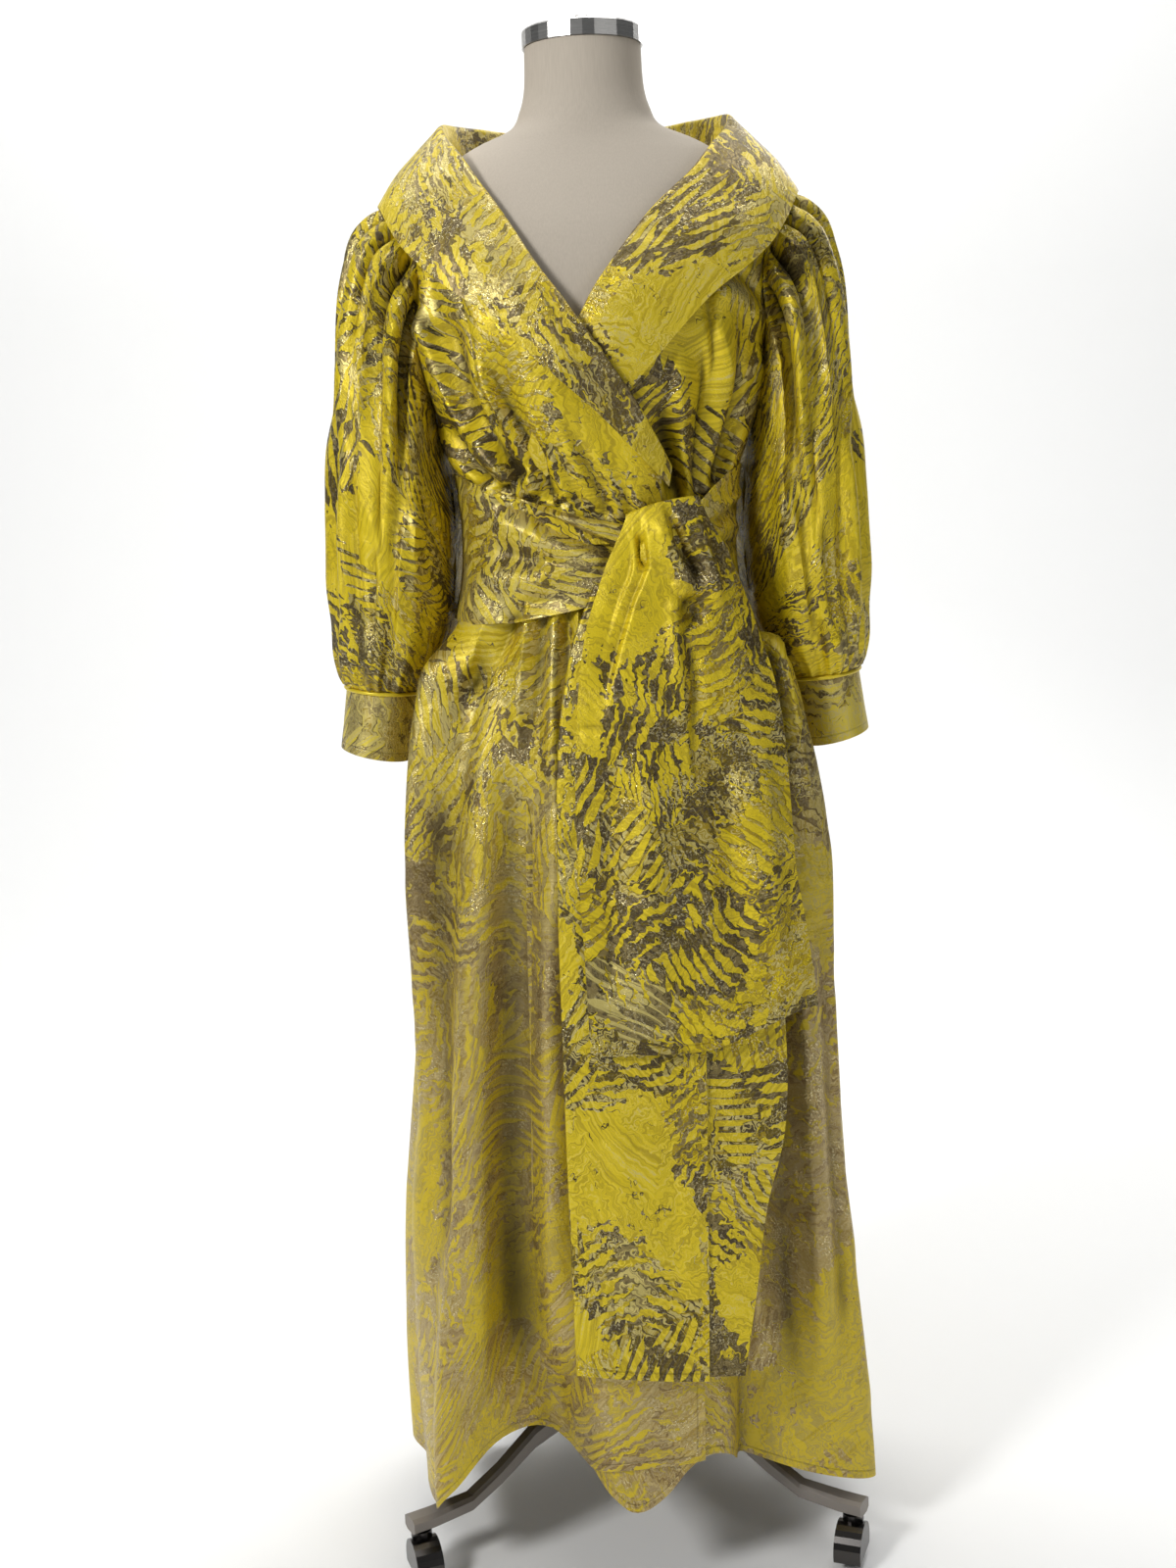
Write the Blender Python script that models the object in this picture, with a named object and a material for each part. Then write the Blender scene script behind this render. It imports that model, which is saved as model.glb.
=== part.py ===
"""A wrap evening gown with a portrait collar, worn by a limbless dress form on a rolling stand.

The front faces -Y, the wearer's right side is -X, and the stand's wheels rest on z = 0.
Tables of sections and folds are in millimetres; everything else is in metres.
"""
import math

import bpy
import bmesh
import numpy as np
from mathutils import Matrix

# Driving dimensions
MM = 0.001
PLACE_Y = -0.026           # pole axis behind the middle of the footprint
CLOTH = 0.0016             # thickness of the brocade
SEAM = 0.0003              # clearance where two pieces meet
SIDE_SEAM_TURN = 0.22      # the same clearance at a side seam, in degrees
EDGE_CLEARANCE = 0.0009    # the same between a front's slanting edge and its collar
WAIST_Z = 1.020            # waist seam, under the sash
UNDERARM_Z = 1.165
SHOULDER_Z = 1.335         # top of the armhole
NECK_EDGE_Z = 1.374        # top edge of the bodice
ARMHOLE_FRONT = 0.060      # how far the armhole reaches to the front
ARMHOLE_BACK = 0.066
OVERLAP_LIFT = 0.0100      # the upper wrap over the under wrap, at the bodice
SKIRT_OVERLAP_LIFT = 0.0050
SASH_SIDE_LIFT = 0.0075    # sash over the gown, at the sides and back
SASH_LIFT = 0.0145         # sash over the gown, at the front
DRAPE_WIDE = 1.3           # how much flatter than the gown a loose layer hangs over it
SHOULDER_ROLL_WIDE = 0.2   # and how much more at the collar's roll on the shoulder
STEP_FORM = 32             # divisions round the dress form
STEP_SLEEVE = 36           # divisions round a sleeve, four to a gather
NECK_TOP_Z = 1.4750
CAP_RADIUS = 0.0565
CAP_HEIGHT = 0.0155
KNOB_RADIUS = 0.0100
KNOB_HEIGHT = 0.0125
FORM_BOTTOM_Z = 0.775
POLE_RADIUS = 0.0160
POLE_BOTTOM_Z = 0.104
POLE_COLLAR_HEIGHT = 0.024
HUB_RADIUS = 0.034
HUB_SLEEVE_TOP_Z = 0.170
LEG_RADIUS = 0.250         # pole axis to caster axis
LEG_ANGLES = (-30.0, 210.0, 90.0)
TRAIL_ANGLES = (-110.0, -70.0, -90.0)
TRAIL = 0.010              # caster axis to wheel centre
WHEEL_RADIUS = 0.0200
WHEEL_WIDTH = 0.0150
WHEEL_HUB_WIDTH = 0.0174
HOOD_RADIUS = 0.0240
HOOD_WIDTH = 0.0270
HOOD_INNER_RADIUS = 0.0215
HOOD_INNER_WIDTH = 0.0180
HOOD_LOW_Z = 0.0115        # lower edge of the hood, open below
STEM_RADIUS = 0.0105
LEG_END_Z = 0.0500         # underside of a leg's end
# A leg from the hub sleeve out: distance and height in metres, half height and half width in millimetres
LEG_ROWS = (
    (HUB_RADIUS + SEAM, 0.128, 15, 9),
    (0.075, 0.126, 13, 9),
    (0.120, 0.108, 11, 8.5),
    (0.160, 0.080, 9.5, 8.5),
    (0.195, 0.061, 8, 9.5),
    (0.238, 0.058, 8, 11.5),
    (LEG_RADIUS + 0.012, 0.058, 8, 11.5),
)
# A leg's section: a box with its corners cut off
LEG_OUTLINE = ((-1, -0.6), (-0.6, -1), (0.6, -1), (1, -0.6), (1, 0.6), (0.6, 1), (-0.6, 1), (-1, 0.6))

# The gown without folds, as rings from the neck to the hem: half widths to
# the wearer's right and left, depths to the front and back, and how square.
# Columns: z, right, left, front, back, square
GOWN_SECTIONS = (
    (1402, 74, 74, 62, 70, 2.0),
    (1388, 108, 108, 68, 80, 2.0),
    (1374, 131, 131, 77, 88, 2.1),
    (1355, 152, 152, 88, 97, 2.1),
    (1335, 165, 165, 99, 103, 2.15),
    (1300, 173, 173, 117, 108, 2.2),
    (1255, 172, 172, 133, 108, 2.2),
    (1210, 165, 165, 141, 104, 2.2),
    (1160, 152, 152, 137, 98, 2.2),
    (1110, 137, 137, 127, 93, 2.2),
    (1060, 127, 126, 117, 91, 2.2),
    (1020, 125, 123, 113, 93, 2.2),
    (980, 129, 127, 116, 98, 2.2),
    (940, 141, 140, 122, 106, 2.2),
    (900, 153, 154, 128, 114, 2.2),
    (850, 165, 167, 135, 123, 2.2),
    (800, 174, 180, 141, 131, 2.2),
    (700, 187, 198, 149, 142, 2.2),
    (600, 197, 210, 156, 151, 2.2),
    (500, 206, 221, 162, 159, 2.2),
    (350, 222, 229, 170, 171, 2.2),
    (200, 226, 232, 177, 181, 2.2),
    (60, 224, 237, 183, 190, 2.2),
)

# The dress form: a general figure a little inside the gown
FORM_SECTIONS = (
    (1475, 54.5, 54.5, 54.5, 54.5, 2.0),
    (1440, 56, 56, 54.5, 57, 2.0),
    (1420, 61, 61, 56, 61, 2.0),
    (1402, 72, 72, 60, 67, 2.0),
    (1388, 104.5, 104.5, 65, 76.5, 2.0),
    (1374, 127.5, 127.5, 73, 84.5, 2.1),
    (1355, 147.5, 147.5, 84, 93, 2.1),
    (1335, 155, 155, 94, 98, 2.15),
    (1300, 157, 157, 109, 100, 2.2),
    (1255, 155, 155, 122, 98, 2.2),
    (1210, 148, 148, 128, 93, 2.2),
    (1160, 136, 136, 122, 87, 2.2),
    (1110, 122, 122, 110, 82, 2.2),
    (1060, 111, 111, 100, 80, 2.2),
    (1020, 107, 107, 95, 80, 2.2),
    (980, 111, 111, 97, 84, 2.2),
    (940, 121, 121, 103, 92, 2.2),
    (900, 132, 132, 108, 100, 2.2),
    (850, 141, 141, 111, 106, 2.2),
    (810, 140, 140, 109, 105, 2.2),
    (785, 132, 132, 102, 98, 2.2),
    (775, 120, 120, 92, 88, 2.2),
)

# Skirt folds: offset from the plain ring at the hip, the knee and the hem.
# Degrees run from the wearer's left (0) over the front (90) to the right
# (180) and on over the back (270).
# Columns: angle, hip, knee, hem
SKIRT_FOLDS = (
    (0, 0, 2, 4),
    (14, -6, -4, -8),
    (28, 42, 16, 34),
    (43, 4, -10, -8),
    (57, -5, -20, -44),
    (70, 1, 0, 6),
    (84, 0, 4, 18),
    (95, 0, 3, 14),
    (104, -2, -9, -34),
    (113, -6, -20, -62),
    (121, -8, -16, -50),
    (131, 2, 14, 40),
    (140, 6, 6, 28),
    (152, 42, 12, 10),
    (167, -6, -2, -4),
    (180, 0, 3, 9),
    (197, -3, -9, -16),
    (212, 4, 9, 24),
    (228, -2, -12, -24),
    (243, 3, 7, 20),
    (258, -2, -10, -26),
    (272, 3, 7, 18),
    (287, -2, -11, -24),
    (302, 4, 9, 23),
    (318, -3, -10, -22),
    (333, 4, 8, 17),
    (347, -3, -4, -8),
)

SKIRT_ROWS = (0, 0.035, 0.075, 0.12, 0.175, 0.25, 0.38, 0.55, 0.76, 1.0)

# Height of the hem round the upper wrap and the back, and of the under wrap
# Columns: angle, z
HEM_OUTER = (
    (0, 82), (28, 76), (57, 118), (70, 148), (84, 151), (92, 149), (102, 136), (112, 138),
    (118, 150), (123, 158), (126, 150), (130, 114), (136, 89), (150, 84), (180, 84),
    (212, 78), (228, 92), (243, 80), (258, 94), (272, 84), (287, 94), (302, 78),
    (318, 90), (333, 78),
)
HEM_UNDER = (
    (0, 82), (28, 76), (57, 118), (63, 124), (69, 144), (75, 153), (80, 144), (85, 119),
    (90, 104), (94, 116), (99, 134), (108, 140), (180, 140),
)
WRAP_EDGE_WAIST = 68       # angle of the upper wrap's edge at the waist and the hem
WRAP_EDGE_HEM = 77
UNDER_WRAP_EDGE = 116      # angle of the under wrap's edge
SKIRT_SEAM_TURN = 0.15     # half the clearance at the skirt's side seams, in degrees

# Bodice folds: ridges that run up from the waist and fade at the shoulders
# Columns: angle, waist, bust
BODICE_FOLDS = (
    (0, 0, 0), (22, 2, 2), (36, -2, -2), (50, 3, 5), (62, -2, -2),
    (76, 2, 2), (90, -2, -2), (104, 2, 2), (118, -2, -2),
    (131, 3, 4), (144, -2, -2), (158, 2, 2), (180, 0, 0),
    (204, 2, 2), (222, -2, -2), (240, 2, 2), (256, -2, -1),
    (270, 2, 2), (284, -2, -1), (300, 2, 2), (318, -2, -2), (336, 2, 2),
)

# The collar halves, from the centre back to the tip of the wrap. Behind the
# shoulder a row gives the neck seam's angle, then the roll and the edge.
# Columns: angle, roll_x, roll_y, roll_z, edge_x, edge_y, edge_z
COLLAR_BACK = (
    (269.9, 0.2, 117, 1411, 0.2, 146, 1322),
    (256, 36, 114, 1412, 46, 145, 1321),
    (240, 72, 101, 1414, 95, 135, 1321),
    (222, 106, 75, 1414, 143, 112, 1323),
    (203, 130, 42, 1412, 178, 70, 1328),
    (183, 141, 3, 1408, 197, 16, 1336),
)
# Before it a row gives the seam, roll and edge in the front view; x is
# positive on the collar's own side. The lifts are over the gown.
# Columns: seam_x, seam_z, roll_x, roll_z, edge_x, edge_z, roll_lift, edge_lift
COLLAR_RIGHT = (
    (130, 1370, 137, 1394, 192, 1331, 6, 10),
    (122, 1356, 122, 1373, 177, 1301, 6, 12),
    (107, 1335, 103, 1344, 159, 1278, 6, 13),
    (91, 1308, 82, 1314, 136, 1257, 6, 14),
    (67, 1271, 57, 1274, 97, 1227, 10, 19),
    (45, 1240, 33, 1241, 65, 1197, 13, 21),
    (21, 1205, 8, 1206, 34, 1168, 16.5, 21),
    (-8, 1165, -20, 1165, 3, 1140, 16.5, 20.5),
    (-31, 1127, -44, 1127, -28, 1108, 16, 20),
    (-53, 1088, -66, 1086, -63, 1070, 15.5, 18),
)
COLLAR_LEFT = (
    (130, 1370, 137, 1394, 192, 1331, 6, 10),
    (120, 1356, 118, 1371, 177, 1303, 6, 12),
    (102, 1335, 95, 1345, 161, 1281, 6, 12),
    (73, 1307, 61, 1315, 138, 1261, 4, 10),
    (41, 1272, 28, 1277, 106, 1237, 3, 9),
    (15, 1241, 3, 1245, 75, 1206, 3, 8),
    (-8, 1205, -18, 1208, 45, 1173, 3.2, 6),
    (-31, 1165, -41, 1165, 12, 1138, 4.0, 6.2),
    (-47, 1127, -57, 1127, -22, 1106, 4.4, 7.0),
    (-60, 1088, -70, 1087, -62, 1071, 4.4, 6.8),
)
ROLL_SIZE_BACK = 0.0090    # across the soft roll of the collar
ROLL_SIZE_FRONT = 0.0068
STAND_BASE = 0.0012        # the stand's foot over the bodice's edge, behind
COLLAR_CROWN = 0.0070      # how far the fall bulges between roll and edge

# Sleeve rings from the armhole down: outer and inner point, as distances
# from the middle of the body, the ring's middle and half depth, and gathers.
# Columns: out_x, out_z, in_x, in_z, mid_y, half_y, gather
SLEEVE_RINGS = (
    (186, 1330, 152, 1134, 3, 70, 3.0),
    (205, 1322, 147, 1112, 3, 75, 4.5),
    (220, 1303, 144, 1084, 2, 77, 5.0),
    (232, 1258, 142, 1054, 0, 79, 5.0),
    (241, 1180, 141, 1015, -2, 80, 4.0),
    (248, 1085, 144, 974, -4, 80, 4.0),
    (253, 990, 150, 937, -7, 76, 4.0),
    (256, 930, 162, 907, -8, 66, 4.0),
    (253, 900, 175, 888, -8, 54, 2.5),
    (249, 887, 180, 879, -8, 48, 0.0),
)
SLEEVE_GATHERS = 9         # folds round a sleeve
SLEEVE_SEAM_OUT = 0.0014   # the sleeve's top edge over the bodice's armhole edge
SLEEVE_SEAM_GROW = 0.0030
CUFF_RINGS = ((249, 886.7, 180, 878.7, -8, 48.5), (258, 828, 192, 812, -8, 50))
RIGHT_SLEEVE_SHIFT = 5     # the right sleeve stands a little further out
SLEEVE_TUCK = 25           # how far a sleeve's back reaches in behind the waist
SLEEVE_TUCK_TURN = 232     # where round the sleeve it reaches furthest, in degrees

# Sash bands: height of the two edges at each angle
# Columns: angle, top, bottom
SASH_FRONT = (
    (70, 1034, 971), (80, 1036, 969), (90, 1042, 967), (102, 1051, 960), (116, 1062, 954),
    (132, 1073, 950), (150, 1082, 948), (166, 1087, 950), (179.8, 1088, 953),
)
SASH_BACK = ((180, 1088, 953), (225, 1090, 948), (270, 1092, 946), (315, 1090, 952), (360, 1087, 975))
SASH_LEFT = ((0.2, 1087, 975), (16, 1088, 984), (30, 1083, 992), (42, 1070, 1000), (50, 1056, 1004))

# The wide tail, from the top of the knot down: left and right edge in the
# front view, and how far its left, middle and right stand before the gown.
# Columns: z, left, right, lift_left, lift_mid, lift_right
TAIL_FRONT = (
    (1058, 22, 90, 25, 28, 24),
    (1040, 15, 98, 29, 35, 29),
    (1016, 6, 112, 30, 39, 32),
    (985, -4, 126, 30, 39, 32),
    (951, -16, 138, 29, 36, 29),
    (910, -24, 150, 28, 33, 27),
    (865, -29, 160, 28, 31, 26),
    (793, -33, 166, 27, 29, 25),
    (700, -32, 170, 27, 29, 25),
    (640, -30, 178, 29, 31, 26),
    (556, -28, 187, 31, 32, 27),
)
TAIL_UNDER = (
    (984, -6, 66, 22.3, 22.9, 22.3),
    (930, -28, 74, 22, 23, 22),
    (840, -44, 78, 20, 21, 20),
    (700, -50, 80, 19.5, 20.5, 19.5),
    (560, -51, 79, 22, 23, 22),
    (400, -51, 76, 26, 27, 25),
    (250, -50, 72, 33, 34, 32),
)
# The long tail is folded lengthwise: how far its back layer shows past the face
# Columns: z, width
TAIL_BACK_LAYER = ((984, 30), (700, 66), (560, 76), (470, 74), (400, 56), (330, 46), (250, 34))
TAIL_FOLD_SIZE = 0.0060    # across the fold between the two layers
# The knot's core: columns share of its length, half height, half depth
KNOT_RINGS = ((0, 8, 5), (0.12, 16, 9), (0.4, 22, 10.8), (0.7, 21, 10.6), (0.9, 15, 8.4), (1, 8, 4.5))
KNOT_START = (0.034, 1.012)    # x and z of its end at the wearer's right
KNOT_RUN = (0.048, 0.010)      # how far it runs to the wearer's left and up
KNOT_LIFT = 0.0280         # middle of the knot's core over the gown
WIDE_TAIL_SLANT = 0.014    # how far the wide tail's top drops to its left
WIDE_TAIL_HEM_RISE = 0.030    # how far its hem rises to its right
LONG_TAIL_HEM_DROP = 0.012    # how far the long tail's hem drops to its right

# Materials: colour, roughness, metallic
MATERIALS = {
    "brocade": ((0.62, 0.53, 0.08, 1.0), 0.42, 0.55),
    "linen": ((0.56, 0.50, 0.42, 1.0), 0.85, 0.0),
    "brushed_steel": ((0.48, 0.47, 0.46, 1.0), 0.32, 1.0),
    "painted_iron": ((0.20, 0.18, 0.165, 1.0), 0.45, 0.3),
    "caster_metal": ((0.09, 0.085, 0.08, 1.0), 0.3, 0.8),
    "caster_tread": ((0.03, 0.03, 0.03, 1.0), 0.6, 0.0),
}


def clear_scene():
    for old in list(bpy.data.objects):
        bpy.data.objects.remove(old, do_unlink=True)


def material(name):
    found = bpy.data.materials.get(name)
    if found:
        return found
    made = bpy.data.materials.new(name)
    made.use_nodes = True
    colour, roughness, metallic = MATERIALS[name]
    shader = made.node_tree.nodes["Principled BSDF"]
    shader.inputs["Base Color"].default_value = colour
    shader.inputs["Roughness"].default_value = roughness
    shader.inputs["Metallic"].default_value = metallic
    return made


# Reading the tables

def smooth_read(table, column, at, period=None):
    """A column's value at a place between the rows, on a smooth curve through them."""
    rows = table if table[0][0] < table[-1][0] else table[::-1]
    keys = [row[0] for row in rows]
    values = [row[column] for row in rows]
    if period:
        at = at % period
        keys = [keys[-1] - period] + keys + [keys[0] + period, keys[1] + period]
        values = [values[-1]] + values + [values[0], values[1]]
    at = min(max(at, keys[0]), keys[-1])
    index = max(i for i in range(len(keys) - 1) if keys[i] <= at or i == 0)
    low = max(index - 1, 0)
    high = min(index + 2, len(keys) - 1)
    span = keys[index + 1] - keys[index]
    t = (at - keys[index]) / span
    slope_a = (values[index + 1] - values[low]) / (keys[index + 1] - keys[low]) * span
    slope_b = (values[high] - values[index]) / (keys[high] - keys[index]) * span
    a, b = values[index], values[index + 1]
    return (a * (2 * t ** 3 - 3 * t ** 2 + 1) + slope_a * (t ** 3 - 2 * t ** 2 + t)
            + b * (3 * t ** 2 - 2 * t ** 3) + slope_b * (t ** 3 - t ** 2))


def ramp(low, high, at):
    t = min(max((at - low) / (high - low), 0.0), 1.0)
    return t * t * (3 - 2 * t)


def section(table, z):
    return [smooth_read(table, c, z / MM) * (MM if c < 5 else 1.0) for c in range(1, 6)]


def ring_point(table, angle, z, out=0.0):
    """A point on a ring at this angle in degrees, moved outward by out."""
    right, left, front, back, square = section(table, z)
    c, s = math.cos(math.radians(angle)), math.sin(math.radians(angle))
    wide = left if c > 0 else right
    deep = front if s > 0 else back
    x = (wide + out) * math.copysign(abs(c) ** (2 / square), c)
    y = -(deep + out) * math.copysign(abs(s) ** (2 / square), s)
    return np.array([x, y, z])


def fold_offset(angle, z):
    """How far the gown's folds stand out from its plain ring."""
    if z >= WAIST_Z:
        waist = smooth_read(BODICE_FOLDS, 1, angle, 360)
        bust = smooth_read(BODICE_FOLDS, 2, angle, 360)
        t = ramp(WAIST_Z, 1.10, z)
        return ((1 - t) * waist * ramp(1.0, 1.06, z) + t * bust * (1 - ramp(1.20, 1.33, z))) * MM
    hip = smooth_read(SKIRT_FOLDS, 1, angle, 360)
    knee = smooth_read(SKIRT_FOLDS, 2, angle, 360)
    hem = smooth_read(SKIRT_FOLDS, 3, angle, 360)
    start = ramp(0.962, 0.898, z)
    upper = hip + (knee - hip) * ramp(0.82, 0.42, z)
    return start * (upper + (hem - knee) * ramp(0.45, 0.08, z)) * MM


def gown_point(angle, z, lift=0.0):
    """A point on the gown's outer surface; lift is the layer's height above the first."""
    plain = ring_point(GOWN_SECTIONS, angle, z)
    away = math.hypot(plain[0], plain[1])
    scale = (away + fold_offset(angle, z) + lift) / away
    return np.array([plain[0] * scale, plain[1] * scale, z])


def angle_at_x(x, z):
    """The front angle at which the gown's plain ring has this x."""
    right, left, front, back, square = section(GOWN_SECTIONS, z)
    share = x / (left if x > 0 else right)
    share = min(max(share, -1.0), 1.0)
    return math.degrees(math.acos(math.copysign(abs(share) ** (square / 2), share)))


def fold_at(x, z):
    """The gown's fold offset at this x on its front."""
    return fold_offset(angle_at_x(x, z), z)


def angle_at_depth(depth, z, side, front=True):
    """The angle at which the ring is this far before or behind the side line."""
    row = section(GOWN_SECTIONS, z)
    deep = row[2] if front else row[3]
    turn = math.degrees(math.asin(min((depth / deep), 1.0) ** (row[4] / 2)))
    turn = turn if front else -turn
    return turn if side > 0 else 180.0 - turn


# Solids from grids

def grid_normals(grid, closed):
    rows, cols, _ = grid.shape
    if closed:
        across = np.roll(grid, -1, axis=1) - np.roll(grid, 1, axis=1)
    else:
        across = np.gradient(grid, axis=1)
    down = np.gradient(grid, axis=0)
    normal = np.cross(across, down)
    length = np.linalg.norm(normal, axis=2, keepdims=True)
    return normal / np.maximum(length, 1e-12)


def mesh_object(name, points, faces, material_name, smooth=True):
    mesh = bpy.data.meshes.new(name)
    mesh.from_pydata([tuple(p) for p in points], [], faces)
    work = bmesh.new()
    work.from_mesh(mesh)
    if work.calc_volume(signed=True) < 0:
        bmesh.ops.reverse_faces(work, faces=work.faces)
    work.to_mesh(mesh)
    work.free()
    mesh.materials.append(material(material_name))
    made = bpy.data.objects.new(name, mesh)
    bpy.context.collection.objects.link(made)
    made.location.y = PLACE_Y
    if smooth:
        mesh.shade_smooth()
        mesh.set_sharp_from_angle(angle=math.radians(40))
    return made


def sheet_solid(name, grid, closed=False, toward=None, material_name="brocade", wall=CLOTH):
    """A closed wall whose outer side is the grid of points; toward is a point inside."""
    grid = np.asarray(grid, float)
    rows, cols, _ = grid.shape
    normal = grid_normals(grid, closed)
    inside = np.zeros(3) if toward is None else np.asarray(toward, float)
    facing = np.sum((grid - inside) * normal)
    if facing < 0:
        normal = -normal
    inner = grid - normal * wall
    points = np.concatenate([grid.reshape(-1, 3), inner.reshape(-1, 3)])
    half = rows * cols
    faces = []
    span = cols if closed else cols - 1
    for r in range(rows - 1):
        for c in range(span):
            n = (c + 1) % cols
            a, b, d, e = r * cols + c, r * cols + n, (r + 1) * cols + n, (r + 1) * cols + c
            faces += [(a, b, d), (a, d, e), (half + a, half + d, half + b), (half + a, half + e, half + d)]
    for c in range(span):
        n = (c + 1) % cols
        for r, flip in ((0, False), (rows - 1, True)):
            a, b = r * cols + c, r * cols + n
            quad = [(a, half + b, b), (a, half + a, half + b)]
            faces += [tuple(reversed(f)) for f in quad] if flip else quad
    if not closed:
        for r in range(rows - 1):
            for c, flip in ((0, True), (cols - 1, False)):
                a, b = r * cols + c, (r + 1) * cols + c
                quad = [(a, half + b, b), (a, half + a, half + b)]
                faces += [tuple(reversed(f)) for f in quad] if flip else quad
    return mesh_object(name, points, faces, material_name)


def turned_solid(name, rings, material_name, steps=STEP_FORM):
    """A closed solid through rings of points, capped at both ends."""
    points = [p for ring in rings for p in ring]
    faces = []
    for r in range(len(rings) - 1):
        for c in range(steps):
            n = (c + 1) % steps
            a, b, d, e = r * steps + c, r * steps + n, (r + 1) * steps + n, (r + 1) * steps + c
            faces += [(a, b, d), (a, d, e)]
    last = (len(rings) - 1) * steps
    faces.append(tuple(reversed(range(steps))))
    faces.append(tuple(range(last, last + steps)))
    return mesh_object(name, points, faces, material_name)


def round_rings(profile, steps, centre=(0.0, 0.0)):
    return [[(centre[0] + r * math.cos(2 * math.pi * k / steps),
              centre[1] + r * math.sin(2 * math.pi * k / steps), z) for k in range(steps)]
            for r, z in profile]


# Bodice

def armhole_depth(z, reach):
    middle = (UNDERARM_Z + SHOULDER_Z) / 2
    share = (z - middle) / ((SHOULDER_Z - UNDERARM_Z) / 2)
    return max(reach * (1 - share * share), 0.0)


def seam_x(rows, z):
    """x of the bodice's wrap edge at this height, positive on the panel's own side."""
    pairs = [(row[1], row[0]) for row in rows] + [(NECK_EDGE_Z / MM, 131.0)]
    return smooth_read(tuple(sorted(pairs)), 1, z / MM) * MM


def wrap_lift(angle):
    """The upper wrap rises over the under wrap as it crosses the front."""
    return ramp(142, 122, angle) * OVERLAP_LIFT


def bodice_rows(rows):
    """Heights of a front's rows: the waist, then every row of its collar."""
    low = WAIST_Z + SEAM
    return [low, (low + rows[-1][1] * MM) / 2] + sorted(row[1] * MM for row in rows)


def bodice_front(side, name, rows, lift, columns):
    """One front: side -1 is the wearer's right, the upper wrap."""
    grid = []
    for z in bodice_rows(rows):
        start = angle_at_depth(armhole_depth(z, ARMHOLE_FRONT), z, side)
        start += SIDE_SEAM_TURN * side
        edge = seam_x(rows, max(z, rows[-1][1] * MM)) + EDGE_CLEARANCE
        end = angle_at_x(edge * side, z)
        row = [start + (end - start) * k / columns for k in range(columns + 1)]
        grid.append([gown_point(a, z, lift(a)) for a in row])
    return sheet_solid(name, grid, toward=(0, 0, 1.2))


def bodice_back(columns=22):
    grid = []
    for z in bodice_rows(COLLAR_RIGHT)[:-1] + [NECK_EDGE_Z]:
        start = angle_at_depth(armhole_depth(z, ARMHOLE_BACK), z, -1, False)
        end = 540.0 - start
        grid.append([gown_point(start + (end - start) * k / columns, z) for k in range(columns + 1)])
    return sheet_solid("bodice_back", grid, toward=(0, 0, 1.2))


# Skirt

def hem_height(table, angle):
    return smooth_read(table, 1, angle % 360, 360 if table is HEM_OUTER else None) * MM


def skirt_wrap_lift(angle):
    return ramp(140, 122, angle) * SKIRT_OVERLAP_LIFT


def skirt_panel(name, start, end, columns, hem, lift, end_at_hem=None):
    grid = []
    for share in SKIRT_ROWS:
        row = []
        stop = end + ((end_at_hem or end) - end) * share
        for k in range(columns + 1):
            angle = start + (stop - start) * k / columns
            low = hem_height(hem, angle)
            z = WAIST_Z + (low - WAIST_Z) * share
            row.append(gown_point(angle, z, lift(angle)))
        grid.append(row)
    return sheet_solid(name, grid, toward=(0, 0, 0.5))


# Collar

def bezier(a, b, c, d, t):
    return a * (1 - t) ** 3 + 3 * b * t * (1 - t) ** 2 + 3 * c * t * t * (1 - t) + d * t ** 3


def drape_point(x, z, lift, wide=DRAPE_WIDE):
    """A point of a loose layer that hangs flatter than the gown, in front of it."""
    right, left, front, back, square = section(GOWN_SECTIONS, z)
    half = (left if x > 0 else right) * wide
    share = min(abs(x) / half, 1.0)
    return np.array([x, -front * (1 - share ** square) ** (1 / square) - lift, z])


def collar_path(seam, roll, edge, size, crown, fall_points=4, roll_points=4):
    """One section: up the stand, over the roll and down the fall to the edge."""
    out = np.array([roll[0], roll[1], 0.0])
    out = out / np.linalg.norm(out)
    low = roll - out * size
    rise = (low - seam) / np.linalg.norm(low - seam)
    fall = (edge - roll) / np.linalg.norm(edge - roll)
    reach = size * 0.66
    path = [seam, seam + (low - seam) * 0.5]
    path += [bezier(low, low + rise * reach, roll - fall * reach, roll, k / roll_points)
             for k in range(roll_points + 1)]
    for k in range(1, fall_points + 1):
        share = k / fall_points
        path.append(roll + (edge - roll) * share + out * crown * math.sin(math.pi * share))
    return path


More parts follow.
